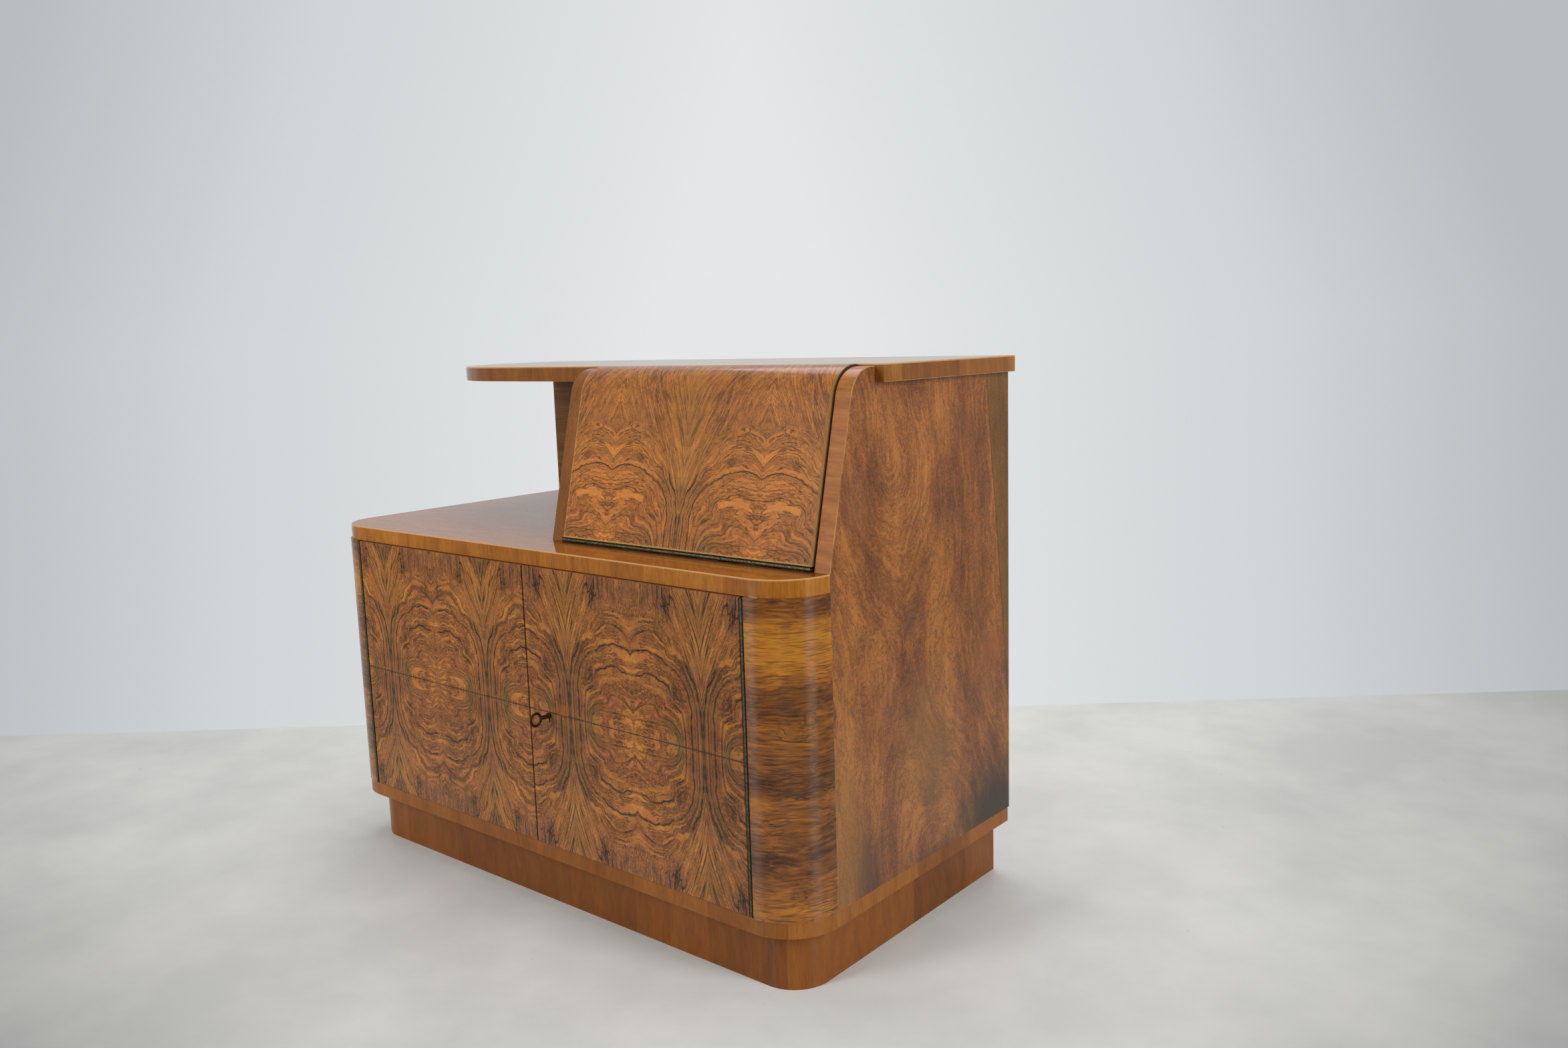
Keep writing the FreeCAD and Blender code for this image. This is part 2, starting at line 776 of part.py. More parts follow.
def lock_case():
    """Open steel box behind the lock plate, with the keyhole in its front wall."""
    case = box(lock_left_x, lock_right_x, lock_front_y, lock_cap_y, lock_low_z, lock_high_z)
    hollow = box(lock_left_x + lock_wall, lock_right_x - lock_wall, lock_front_y + lock_wall,
                 lock_cap_y, lock_low_z + lock_wall, lock_high_z - lock_wall)
    case = case.cut(hollow)
    case = case.cut(keyhole(key_head_radius, key_slot_half, lock_front_y - past,
                            lock_front_y + lock_wall + past))
    return case.cut(bolt_slot(lock_left_x - past, lock_left_x + lock_wall + past))


def lock_plate():
    """Brass plate on the door's inner face, turned along its edge."""
    cap = box(door_free_x, lock_right_x + lock_plate_margin, lock_cap_y, door_inner_y,
              plate_low_z, plate_high_z)
    edge = box(door_free_x, lock_left_x, lock_front_y, lock_cap_y, plate_low_z, plate_high_z)
    return cap.fuse(edge).removeSplitter().cut(bolt_slot(door_free_x - past, lock_left_x + past))


def lock_bolt():
    """Flat bolt; its lower edge is cut away where the key's bit turns."""
    head_x = door_free_x + seam
    tail_x = lock_right_x - lock_wall - seam
    bolt = box(head_x, tail_x, lock_bolt_y, lock_bolt_y + lock_bolt_thickness,
               lock_bolt_bottom, lock_bolt_top)
    sweep = key_bit_reach + key_clearance
    half_chord = math.sqrt(sweep ** 2 - lock_bolt_lift ** 2) + key_clearance
    talon = box(key_x - half_chord, key_x + half_chord + lock_bolt_throw, lock_bolt_y - past,
                lock_bolt_y + lock_bolt_thickness + past, lock_bolt_bottom - past, key_z + sweep)
    return bolt.cut(talon)


key_tip_y = lock_cap_y - key_clearance
drill_pin_tip_y = lock_front_y - escutcheon_depth


def drill_pin():
    """Fixed pin that the hollow key turns on."""
    return rod(drill_pin_radius, vector(key_x, lock_cap_y, key_z), vector(key_x, drill_pin_tip_y, key_z))


def filed_ring(outside, inside, half_width, filed):
    """Ring about X with its four edges filed off."""
    profile = [(-half_width, inside + filed), (-half_width, outside - filed),
               (-half_width + filed, outside), (half_width - filed, outside),
               (half_width, outside - filed), (half_width, inside + filed),
               (half_width - filed, inside), (-half_width + filed, inside)]
    points = [vector(x, r, 0) for x, r in profile]
    face = Part.Face(Part.makePolygon(points + points[:1]))
    return face.revolve(vector(0, 0, 0), vector(1, 0, 0), 360)


def key():
    """Barrel key with a ring bow, its bit hanging straight down."""
    bow_y = door_face_y - key_bow_stand_off
    wire_radius = key_bow_wire / 2
    ring_radius = key_bow_radius - wire_radius
    bow = filed_ring(key_bow_radius, key_bow_radius - key_bow_wire, wire_radius, key_bow_filing)
    bow.translate(vector(key_x, bow_y, key_z))
    shank = rod(key_shank_radius, vector(key_x, bow_y + ring_radius, key_z),
                vector(key_x, key_tip_y, key_z))
    collar_y = door_face_y - seam
    collar = rod(key_collar_radius, vector(key_x, collar_y - key_collar_length, key_z),
                 vector(key_x, collar_y, key_z))
    half = key_bit_thickness / 2
    bit_back_y = key_tip_y - key_clearance
    bit = box(key_x - half, key_x + half, bit_back_y - key_bit_width, bit_back_y,
              key_z - key_bit_reach, key_z - key_shank_radius / 2)
    solid = shank.multiFuse([bow, collar, bit])
    bore_end = drill_pin_tip_y - blind_clearance
    bore = rod(drill_pin_radius + running_clearance, vector(key_x, key_tip_y + past, key_z),
               vector(key_x, bore_end, key_z))
    return solid.cut(bore)


def strike_plate():
    """Brass plate on the left door's edge that the lock bolt enters."""
    plate = box(-door_free_x - strike_thickness, -door_free_x, lock_front_y, door_inner_y,
                lock_bolt_bottom - strike_margin, lock_bolt_top + strike_margin)
    return plate.cut(bolt_slot(-door_free_x - strike_thickness - past, -door_free_x + past))


# ---------------------------------------------------------------- left door's bolts
def bolt_frame(way):
    """End of the door (way +1 top, -1 bottom) and the board that the bolt enters."""
    if way > 0:
        return door_top, lower_top_bottom
    return door_bottom, bottom_board_top


def bolt_case(way):
    end, _ = bolt_frame(way)
    near_z = end - way * bolt_case_end
    far_z = near_z - way * bolt_case_length
    half = bolt_case_width / 2
    z0 = min(near_z, far_z)
    z1 = max(near_z, far_z)
    case = box(bolt_x - half, bolt_x + half, door_inner_y, door_inner_y + bolt_case_depth, z0, z1)
    case = soften(case, lambda b: near(b.YMin, b.YMax) and near(b.YMin, door_inner_y + bolt_case_depth)
                  and near(b.XMin, b.XMax), bolt_case_bevel)
    bore_radius = bolt_radius + running_clearance
    case = case.cut(rod(bore_radius, vector(bolt_x, bolt_y, z0 - past), vector(bolt_x, bolt_y, z1 + past)))
    rest_z = bolt_knob_z(way)
    slot_half = bolt_knob_radius + slide_clearance
    travel = sorted((rest_z - way * slot_half, rest_z + way * (slot_half + bolt_throw)))
    slot = box(bolt_x - slot_half, bolt_x + slot_half, bolt_y, door_inner_y + bolt_case_depth + past,
               travel[0], travel[1])
    return case.cut(slot)


def bolt_knob_z(way):
    end, _ = bolt_frame(way)
    return end - way * (bolt_case_end + bolt_case_length / 2 + bolt_throw / 2)


def bolt_rod(way):
    """Round bolt with a small knob, drawn back into the door."""
    end, _ = bolt_frame(way)
    tip = end - way * seam
    tail = end - way * (bolt_case_end + bolt_case_length)
    bar = rod(bolt_radius, vector(bolt_x, bolt_y, tail), vector(bolt_x, bolt_y, tip))
    knob_z = bolt_knob_z(way)
    knob_end = door_inner_y + bolt_case_depth + bolt_knob_length
    knob = rod(bolt_knob_radius, vector(bolt_x, bolt_y, knob_z), vector(bolt_x, knob_end, knob_z))
    return bar.fuse(knob)


def keeper_plate_box(way, depth):
    _, board = bolt_frame(way)
    reach = keeper_length / 2
    half = bolt_case_width / 2
    heights = sorted((board, board + way * depth))
    return box(bolt_x - reach, bolt_x + reach, bolt_y - half, bolt_y + half, heights[0], heights[1])


def keeper_hole(way):
    end, board = bolt_frame(way)
    bottom = end + way * (bolt_throw + blind_clearance)
    return rod(bolt_radius + slide_clearance, vector(bolt_x, bolt_y, board - way * past),
               vector(bolt_x, bolt_y, bottom))


def keeper_cut(way):
    """Room in the board for a keeper and the bolt."""
    return keeper_plate_box(way, keeper_thickness).fuse(keeper_hole(way))


def bolt_keeper(way):
    return keeper_plate_box(way, keeper_thickness).cut(keeper_hole(way))


# ---------------------------------------------------------------- the nodes
nodes = {
    "plinth_front_rail": plinth_front_rail(),
    "plinth_right_corner": plinth_right_corner(),
    "plinth_left_corner": mirrored(plinth_right_corner()),
    "plinth_right_rail": plinth_right_rail(),
    "plinth_left_rail": mirrored(plinth_right_rail()),
    "plinth_back_rail": plinth_back_rail(),
    "plinth_centre_rail": plinth_centre_rail(),
    "plinth_glue_blocks": plinth_glue_blocks(),
    "bottom_board": bottom_board(),
    "left_side_panel": left_side_panel(),
    "right_side_panel": right_side_panel(),
    "left_corner_shell": left_corner_shell(),
    "right_corner_shell": right_corner_shell(),
    "centre_partition": centre_partition(),
    "lower_top": lower_top(),
    "lower_back_panel": lower_back_panel(),
    "left_shelf": left_shelf(),
    "right_shelf": right_shelf(),
    "shelf_cleats": shelf_cleats(),
    "left_door_stop": left_door_stop(),
    "right_door_stop": right_door_stop(),
    "compartment_panel": compartment_panel(),
    "upper_back_wall": upper_back_wall(),
    "upper_board": upper_board(),
    "mirror": mirror(),
    "glass_shelf": glass_shelf(),
    "glass_shelf_pins": glass_shelf_pins(),
    "carcass_tongues": carcass_tongues(),
    "right_hinge_frame_leaf": right_hinge_frame_leaf(),
    "right_hinge_door_leaf": right_hinge_door_leaf(),
    "right_hinge_pin": right_hinge_pin(),
    "left_hinge_frame_leaf": mirrored(right_hinge_frame_leaf()),
    "left_hinge_door_leaf": mirrored(right_hinge_door_leaf()),
    "left_hinge_pin": mirrored(right_hinge_pin()),
    "flap_hinge_frame_leaf": flap_hinge_frame_leaf(),
    "flap_hinge_flap_leaf": flap_hinge_flap_leaf(),
    "flap_hinge_pin": flap_hinge_pin(),
    "left_door": left_door(),
    "right_door": right_door(),
    "flap": flap(),
    "escutcheon": escutcheon(),
    "lock_case": lock_case(),
    "lock_plate": lock_plate(),
    "lock_bolt": lock_bolt(),
    "drill_pin": drill_pin(),
    "key": key(),
    "strike_plate": strike_plate(),
    "top_bolt_case": bolt_case(1),
    "top_bolt_rod": bolt_rod(1),
    "top_bolt_keeper": bolt_keeper(1),
    "bottom_bolt_case": bolt_case(-1),
    "bottom_bolt_rod": bolt_rod(-1),
    "bottom_bolt_keeper": bolt_keeper(-1),
}

os.makedirs("parts", exist_ok=True)
for name, shape in nodes.items():
    shape.exportStep(os.path.join("parts", name + ".step"))
    print(f"{name:24s} solids {len(shape.Solids):2d}  {shape.Volume / 1000:10.1f} cm3")
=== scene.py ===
# %% [markdown]
# # A cellarette in polished walnut
# The boards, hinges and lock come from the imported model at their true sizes. This lesson gives them
# their finishes, adds the small things that a maker fits last, and sets up the camera and the light.

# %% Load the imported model
import bmesh
import bpy
import json
import math
from mathutils import Euler, Matrix, Vector


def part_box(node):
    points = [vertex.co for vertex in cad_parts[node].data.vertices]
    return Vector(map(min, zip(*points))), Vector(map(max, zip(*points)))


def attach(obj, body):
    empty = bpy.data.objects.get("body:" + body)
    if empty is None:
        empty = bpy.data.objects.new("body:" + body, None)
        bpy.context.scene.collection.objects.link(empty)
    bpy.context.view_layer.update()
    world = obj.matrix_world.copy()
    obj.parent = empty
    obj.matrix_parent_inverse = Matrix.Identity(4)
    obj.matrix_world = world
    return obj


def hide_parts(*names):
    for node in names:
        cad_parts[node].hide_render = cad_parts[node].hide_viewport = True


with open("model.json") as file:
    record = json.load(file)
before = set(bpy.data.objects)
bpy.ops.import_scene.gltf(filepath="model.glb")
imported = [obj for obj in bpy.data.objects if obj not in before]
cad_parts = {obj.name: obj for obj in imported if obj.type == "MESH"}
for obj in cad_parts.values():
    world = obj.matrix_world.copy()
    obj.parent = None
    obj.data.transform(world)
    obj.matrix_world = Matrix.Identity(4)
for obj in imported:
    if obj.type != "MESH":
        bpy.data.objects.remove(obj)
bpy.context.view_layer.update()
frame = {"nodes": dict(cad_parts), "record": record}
nodes = frame["nodes"]

# %% [markdown]
# ## Camera
# One stands at the right front corner and looks a little down on the top. A camera that tracks an
# empty would do too, but plain numbers are easier to change.

# %% Camera
camera_turn, camera_tip, camera_roll = 39.7, 8.7, -1.7      # degrees


def placed(name, data):
    """A new object, linked into the scene."""
    made = bpy.data.objects.new(name, data)
    bpy.context.scene.collection.objects.link(made)
    return made


camera = placed("camera", bpy.data.cameras.new("camera"))
camera.data.sensor_width = 36.0
camera.data.lens = 28.48
camera.location = (1.4153, -1.3693, 0.84)
turn = Euler((math.radians(90 - camera_tip), 0, math.radians(camera_turn))).to_matrix()
roll = Euler((0, 0, math.radians(camera_roll))).to_matrix()
camera.rotation_euler = (turn @ roll).to_euler()
bpy.context.scene.camera = camera
print("camera at", camera.location)

# %% [markdown]
# ## Colours and nodes
# Colours are written as sRGB hex values, and one function turns them into the linear values that light
# is reckoned in. One more adds a node, so that a finish reads as a list of what it is made of. Its
# feeds go to the inputs that the node shows, from the top down: a noise takes its place, scale, detail
# and roughness, and a map range its value, the range that it comes from and the one it goes to.

# %% Colours and nodes
def linear(hex_code):
    """An sRGB hex colour as linear RGBA."""
    parts = [int(hex_code[i:i + 2], 16) / 255 for i in (1, 3, 5)]
    return tuple(c / 12.92 if c <= 0.04045 else ((c + 0.055) / 1.055) ** 2.4 for c in parts) + (1.0,)


def add(kind, *feeds, into=(), out=None, stops=(), points=(), **settings):
    """Adds a node to the tree in hand, add.tree, and returns an output. kind is its type, then its
    operation or data type if it has one; an operation alone is a Math node's. feeds go to its inputs in
    order (None skips one), into names them. Feeds left over go, after the result, to one more node."""
    name, *way = ("Math " * kind.isupper() + kind).split()
    made = add.tree.nodes.new(name if "Node" in name else "ShaderNode" + name)
    for choice in ("operation", "interpolation_type", "data_type"):
        if way and hasattr(made, choice):
            setattr(made, choice, way.pop())
    for name, value in settings.items():
        setattr(made, name, value)
    if stops:
        ramp = made.color_ramp.elements
        while len(ramp) < len(stops):
            ramp.new(1.0)
        for element, (element.position, colour) in zip(ramp, stops):
            element.color = linear(colour)
    if points:
        curve = made.mapping.curves[0]
        for spot in points[1:-1]:
            curve.points.new(*spot)
        curve.points[0].location, curve.points[-1].location = points[0], points[-1]
        made.mapping.update()
    shown = [socket for socket in made.inputs if socket.enabled]
    named = [(made.inputs[name], feed) for name, feed in dict(into).items()]
    for socket, feed in list(zip(shown, feeds)) + named:
        if isinstance(feed, bpy.types.NodeSocket):
            add.tree.links.new(feed, socket)
        elif feed is not None:
            is_colour = isinstance(feed, str) and feed.startswith("#")
            socket.default_value = linear(feed) if is_colour else feed
    results = [socket for socket in made.outputs if socket.enabled and out in (None, socket.name)]
    if len(feeds) > len(shown):
        return add(kind, results[0], *feeds[len(shown):])
    return results[0] if results else None


by_slot, by_node = {}, {}       # the finish of each slot, and of nodes that need one of their own


def new_finish(name):
    """A new material, with its tree in hand, and the place on the piece in millimetres."""
    material = bpy.data.materials.new(name)
    material.use_nodes = True
    add.tree = material.node_tree
    add.tree.nodes.clear()
    return material, add("VectorMath SCALE", add("TexCoord", out="Object"), 1000)


def apart(place, axes):
    """The coordinates of a place along the axes named."""
    return [add("SeparateXYZ", place, out=axis) for axis in axes]


def tinted(colour, *layers):
    """colour under layers of (mask, tint); a tint covers it where its mask is 1."""
    for mask, tint in layers:
        colour = add("Mix RGBA", mask, colour, tint)
    return colour


def summed(total, *shares):
    """total plus each value times its weight."""
    for value, weight in shares:
        total = add("MULTIPLY_ADD", value, weight, total)
    return total


def contour(field, wide, narrow, depth=1.0):
    """Thin lines where a field passes 0.5; they start at wide and are full, at depth, by narrow."""
    gap = add("ABSOLUTE", add("SUBTRACT", field, 0.5))
    return add("MapRange", gap, wide, narrow, 0, depth)


print("middle grey becomes", round(linear("#808080")[0], 3))

# %% [markdown]
# ## French polish
# Many thin coats of shellac, rubbed on with a pad, give deep colour under a clear film: a soft
# reflection from the wood and a sharper one from the film. The Principled shader's coat is that film,
# and a small bump shows where open pores dent it.

# %% French polish
film_index = 1.5


def shaded(material, look):
    """Ends a material with one Principled shader."""
    add("OutputMaterial", add("BsdfPrincipled", into=look))
    return material


def french_polish(material, colour, grain, coat_roughness=0.16, coat=0.55, level=0.1, along=None,
        sheen_width=0.6):
    """Shellac over colour. grain (0 to 1) is where the pores lie, along the way that fine grain draws a
    highlight out, sheen_width how wide it is."""
    rough = add("MapRange", grain, 0, 1, sheen_width, sheen_width - 0.15)
    dents = add("Bump", into={"Strength": 0.22, "Distance": 0.0002, "Height": grain})
    return shaded(material, {
        "Base Color": colour, "Roughness": rough, "Normal": dents, "IOR": film_index,
        "Specular IOR Level": level, "Coat Weight": coat, "Coat IOR": film_index,
        "Coat Roughness": coat_roughness, "Anisotropic": 0.0 if along is None else 1.0, "Tangent": along})


print("the film mirrors", round(((film_index - 1) / (film_index + 1)) ** 2, 3), "of a head-on ray")

# %% [markdown]
# ## Straight-grained walnut
# Fibres run one way, so any noise that is squeezed along that way becomes grain: wide bands for the
# yearly growth, fine lines for the fibres, and short dark dashes for the pores. These are drawn about
# 0.8 mm wide, coarser than real ones, so that they show.

# %% Straight grain
def straight_grain(place, squeeze, band=9.0, seed=0.0):
    """Grain along the axis that squeeze shrinks; band is in mm. Returns (tone, pores), both 0 to 1."""
    fibre_width, pore_width, sway_length = 1.6, 0.8, 90.0      # mm
    shifted = add("VectorMath ADD", place, (seed * 97, seed * 53, seed * 31))
    fine = add("VectorMath MULTIPLY", shifted, squeeze)
    sway = add("VectorMath SCALE", add("TexNoise", shifted, 1 / sway_length, 1, out="Color"), band * 1.6)
    bands = add("TexNoise", add("VectorMath ADD", fine, sway), 1 / band, 4, 0.62)
    fibres = add("TexNoise", fine, 1 / fibre_width, 2, 0.6)
    pores = add("MapRange", add("TexNoise", fine, 1 / pore_width, 1), 0.3, 0.42)
    return add("Mix FLOAT", 0.35, bands, fibres), pores


def darkened(colour, pores, depth):
    """colour with its pores darker."""
    return tinted(colour, (add("MapRange", pores, 0, 1, depth, 0), "#2A1A10"))


def facing(axis):
    """The object-space normal along an axis, from -1 to 1."""
    return add("SeparateXYZ", add("TexCoord", out="Normal"), out=axis)


def worn(place, colour, axis):
    """colour with its bevels rubbed pale; a bevel leans by 0.3 to 0.9 along the axis given."""
    bevel = add("COMPARE", add("ABSOLUTE", facing(axis)), 0.6, 0.3)
    rubbed = add("MapRange", add("TexNoise", place, 1 / 30, 2), 0.35, 0.6, 0.225, 0.75)
    return tinted(colour, (add("MULTIPLY", bevel, rubbed), "#C08E58"))


# %% [markdown]
# ## Figured leaves
# The doors and the flap carry leaves cut from the fork of a walnut tree and opened like the pages of a
# book, so that each pattern is mirrored at every joint. The fibres rise in a tight stem, then spread
# like a fan round a burl. Distance to the nearest stem and height above the middle joint are all that
# is needed: the grain is where a smooth function of the two is level, and noise added to it makes its
# contours ragged.

# %% Stems and burls
leaf_width = 129.0      # mm, from the stem's middle to the burl's middle
curve_top = 200.0       # mm, the distance that 1 stands for on the curves

# Dark outlines round the burl, outermost first. Each has its strength, its half width in mm, and its
# distances from the burl's middle in mm, at turns from 0 (along the joint) to 1 (up the axis). A
# strength below 0 belongs to an outline that fades before the axis.
outlines = (
    (-0.95, 2.4, ((0, 127.5), (0.13, 130), (0.3, 139), (0.38, 145), (0.49, 150), (0.6, 166), (0.8, 187),
        (1, 172))),
    (0.8, 1.8, ((0, 120), (0.13, 122), (0.3, 132), (0.42, 139), (0.54, 145), (0.57, 147), (0.6, 147),
        (0.65, 143), (0.7, 149), (0.755, 152), (0.8, 154), (0.87, 150), (1, 127))),
    (0.95, 1.9, ((0, 109), (0.17, 113), (0.32, 124), (0.39, 128), (0.46, 130.6), (0.53, 131), (0.6, 129),
        (0.66, 126), (0.7, 128.5), (0.76, 126), (0.85, 124), (1, 112))),
    (0.95, 1.6, ((0, 97), (0.18, 100), (0.26, 102), (0.35, 97), (0.44, 91.8), (0.47, 98), (0.525, 102),
        (0.57, 102.5), (0.64, 98.5), (0.72, 98), (0.79, 93), (0.91, 84), (1, 83))),
    (0.7, 1.4, ((0, 91), (0.1, 89), (0.2, 84), (0.3, 72), (0.38, 62), (0.45, 62), (0.52, 63), (0.63, 57),
        (0.75, 47), (1, 31))),
    (0.75, 1.3, ((0, 85), (0.07, 84), (0.14, 79), (0.21, 67), (0.29, 50), (0.36, 42), (0.48, 33), (0.7, 24),
        (1, 19))),
)


def burl_rings(across, up, ragged, calm):
    """Lines, ring number, turn and reach past the edge of the burl that stands beside a stem."""
    beside = add("SUBTRACT", leaf_width, across)
    turn = add("DIVIDE", add("ARCTAN2", up, beside), math.pi / 2)
    radius = add("VectorMath LENGTH", add("CombineXYZ", beside, up, 0))
    loose = add("MapRange", turn, 0.1, 0.5, 2.5, 11)
    radius = add("MULTIPLY_ADD", add("SUBTRACT", ragged, 0.5), loose, radius)
    lines, rings, outer = 0.0, 0.0, None
    for strength, half_width, reaches in outlines:
        reach = add("FloatCurve", None, turn, points=[(t, mm / curve_top) for t, mm in reaches])
        reach = add("MULTIPLY", reach, curve_top)
        gap = add("SUBTRACT", radius, reach)
        if outer is None:
            past = gap
        else:
            rings = add("ADD", rings, add("MapRange", radius, reach, outer))
        outer = reach
        near = add("ABSOLUTE", gap)
        if strength < 0:
            near = add("ADD", near, add("MapRange", turn, 0.52, 0.66, 0, 9))
        line = add("MapRange SMOOTHSTEP", near, 1.3 * half_width * calm, 0.6 * calm, 0, abs(strength))
        shade = add("MapRange", gap, 5, 0, 0, abs(strength) * 0.32 * calm * calm)
        shade = add("MULTIPLY", shade, add("GREATER_THAN", gap, 0))
        lines = add("MAXIMUM", lines, add("MAXIMUM", line, shade))
    middle = add("MINIMUM", add("DIVIDE", radius, outer), 1)
    return lines, add("ADD", rings, middle), turn, past


print("dark outlines round a burl:", len(outlines))

# %% Figured leaf
def figured_leaf(across, up, seed, flame_share, calm):
    """Colour and pores of a mirrored walnut leaf; across and up are in millimetres. calm below 1 evens
    out its light and dark."""
    softness = calm * calm
    spot = add("CombineXYZ", across, up, seed)
    ragged = add("TexNoise", spot, 1 / 14, 5, 0.6)
    lines, rings, turn, past = burl_rings(across, up, ragged, calm)
    # feather: lines that leave the stem and lean outwards as they rise
    pulled = add("LOGARITHM", add("ADD", across, 3), math.e)
    feather = summed(up, (across, -1.75), (pulled, -12))
    rising = summed(add("MULTIPLY", across, 0.06), (up, 0.05))
    feather_spot = add("CombineXYZ", feather, rising, seed)
    ring_spot = add("CombineXYZ", add("MULTIPLY", rings, 11), add("MULTIPLY", turn, 7), seed)
    outside = add("MapRange SMOOTHSTEP", past, -3, 5)
    # above the burl the fibres stand upright and end in ragged flames
    tall_spot = add("VectorMath MULTIPLY", spot, (1, 0.12, 1))
    edge = summed(up, (add("TexNoise", tall_spot, 0.11, 3), 70))
    flames = add("MULTIPLY", add("MapRange SMOOTHSTEP", edge, 178, 232, 0, 0.9),
        add("MapRange SMOOTHSTEP", across, 30, 66), flame_share)
    layers, flows = [], ((ring_spot, 0.42), (feather_spot, 0.32), (tall_spot, 0.34))
    for share, *look in ((1, 4, 0.66), (0.24, 2, 0.5)):
        in_burl, in_feather, in_flames = [add("TexNoise", flow, size * share, *look) for flow, size in flows]
        layers.append(add("Mix FLOAT", flames, add("Mix FLOAT", outside, in_burl, in_feather), in_flames))
    hairs, bands = layers
    clouds = add("TexNoise", spot, 1 / 36, 3, 0.6)
    speck = add("TexNoise", spot, 1 / 2.8, 2, 0.7)
    tone = summed(-0.415, (clouds, 0.55), (hairs, 0.62), (bands, 0.4), (speck, 0.5))
    tone = add("ADD", tone, add("MapRange", rings, 1.1, 0.3, 0, 0.05 * softness),
        add("MapRange", feather, 40, 110, 0, 0.03))
    tone = summed(tone, (flames, -0.08))
    tone = add("MULTIPLY_ADD", tone, calm, 0.61 * (1 - calm))
    colour = add("ValToRGB", tone, stops=((0.36, "#422610"), (0.49, "#714419"), (0.58, "#905927"),
        (0.7, "#A8672A"), (0.86, "#BC7C36")))
    # some patches are redder than others, the stem and the ends of the eye are olive, the flames grey
    blush = add("SeparateXYZ", add("TexNoise", spot, 1 / 52, 2, out="Color"), out="Y")
    blush = add("MapRange", blush, 0.46, 0.62, 0, 0.4 * softness)
    olive = add("MULTIPLY", add("MapRange", turn, 0.34, 0.08), add("MapRange", rings, 0.7, 1.1),
        add("MapRange", rings, 3.2, 2.3), 0.42)
    olive = add("MAXIMUM", olive, add("MapRange", across, 40, 8, 0, 0.2))
    ash = add("MULTIPLY", flames, 0.25)
    colour = tinted(colour, (blush, "#965230"), (olive, "#70602E"), (ash, "#6B4F3C"))
    # thinner lines run beside the outlines where they crowd past the stem and the ends of the eye
    nested = add("FRACT", add("MULTIPLY", summed(rings, (ragged, 0.35)), 2))
    nested = contour(nested, 0.13, 0.02, add("MapRange", turn, 0.55, 0.2, 0.24, 0.84))
    nested = add("MULTIPLY", nested, add("MapRange", rings, 0.6, 0.9))
    # hair-thin lines wander wherever the growth is level, and all these lines are weak in places
    lines = add("MAXIMUM", lines, nested, contour(hairs, 0.034, 0.012, 0.74))
    strength = add("MapRange", add("TexNoise", spot, 1 / 22, 2), 0.34, 0.54, 0.58, 1)
    # bolder ones, a finger's breadth apart, fan out from the stem
    fan = contour(bands, 0.034, 0.01, 0.95 * calm)
    fan = add("MULTIPLY", fan, outside, add("MapRange", across, 124, 70))
    streaks = add("MapRange", hairs, 0.45, 0.31, 0, 0.72 * calm)
    dark = add("MAXIMUM", add("MULTIPLY", lines, strength), fan, streaks)
    # short cross checks where the burl's fibres turn towards the face
    flat_spot = add("VectorMath MULTIPLY", spot, (0.07, 0.9, 1))
    checks = add("MapRange", add("TexNoise", flat_spot, 0.75, 4, 0.65), 0.55, 0.7)
    checks = add("MULTIPLY", checks, add("MapRange", rings, 5.3, 3.5))
    dark = add("MULTIPLY_ADD", checks, 0.38, dark, use_clamp=True)
    # the glue lines of the joints
    joint = add("MAXIMUM", add("MapRange", up, 1.1, 0.6, 0, 0.9),
        add("MapRange", across, leaf_width - 0.6, leaf_width - 0.1, 0, 0.35))
    return tinted(colour, (dark, "#1D120B"), (joint, "#33221A")), hairs


print("a leaf is", 2 * leaf_width, "mm wide when it is opened")

# %% [markdown]
# ## Doors and flap
# Each door is one opened leaf and a part of the next. A ping-pong of the distance across mirrors the
# leaf at every joint, and the height above the middle joint is mirrored by taking its plain size. The
# flap's height is measured along its leaning face. One white-noise value per leaf makes neighbours
# differ a little, as turned-over veneer does.

# %% Doors and flap
middle_joint = 311.0                # mm above the floor
flap_foot = (0, -183.5, 546.0)      # mm, where the flap's lower joint would be
flap_lean = math.radians(13.4)


def box_mm(node):
    """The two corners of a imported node's box, in millimetres."""
    return [[v * 1000 for v in corner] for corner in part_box(node)]


def plain_tones(tone, dark, middle, light):
    """The colour of plain grain."""
    return add("ValToRGB", tone, stops=((0.3, dark), (0.5, middle), (0.7, light)))


def lipped(colour, x, up):
    """colour with the flap's edge strip, which shows at its left, right and bottom."""
    left, right, bottom = 4.5, 474.0, box_mm("flap")[0][2] - flap_foot[2]       # mm
    thin = add("MINIMUM", add("SUBTRACT", x, left), add("SUBTRACT", up, bottom))
    return tinted(colour, (add("MapRange", thin, 2.6, 1.8, 0, 0.55), "#C89650"),
        (add("MapRange", x, right - 5.8, right - 5, 0, 0.75), "#8E6424"))


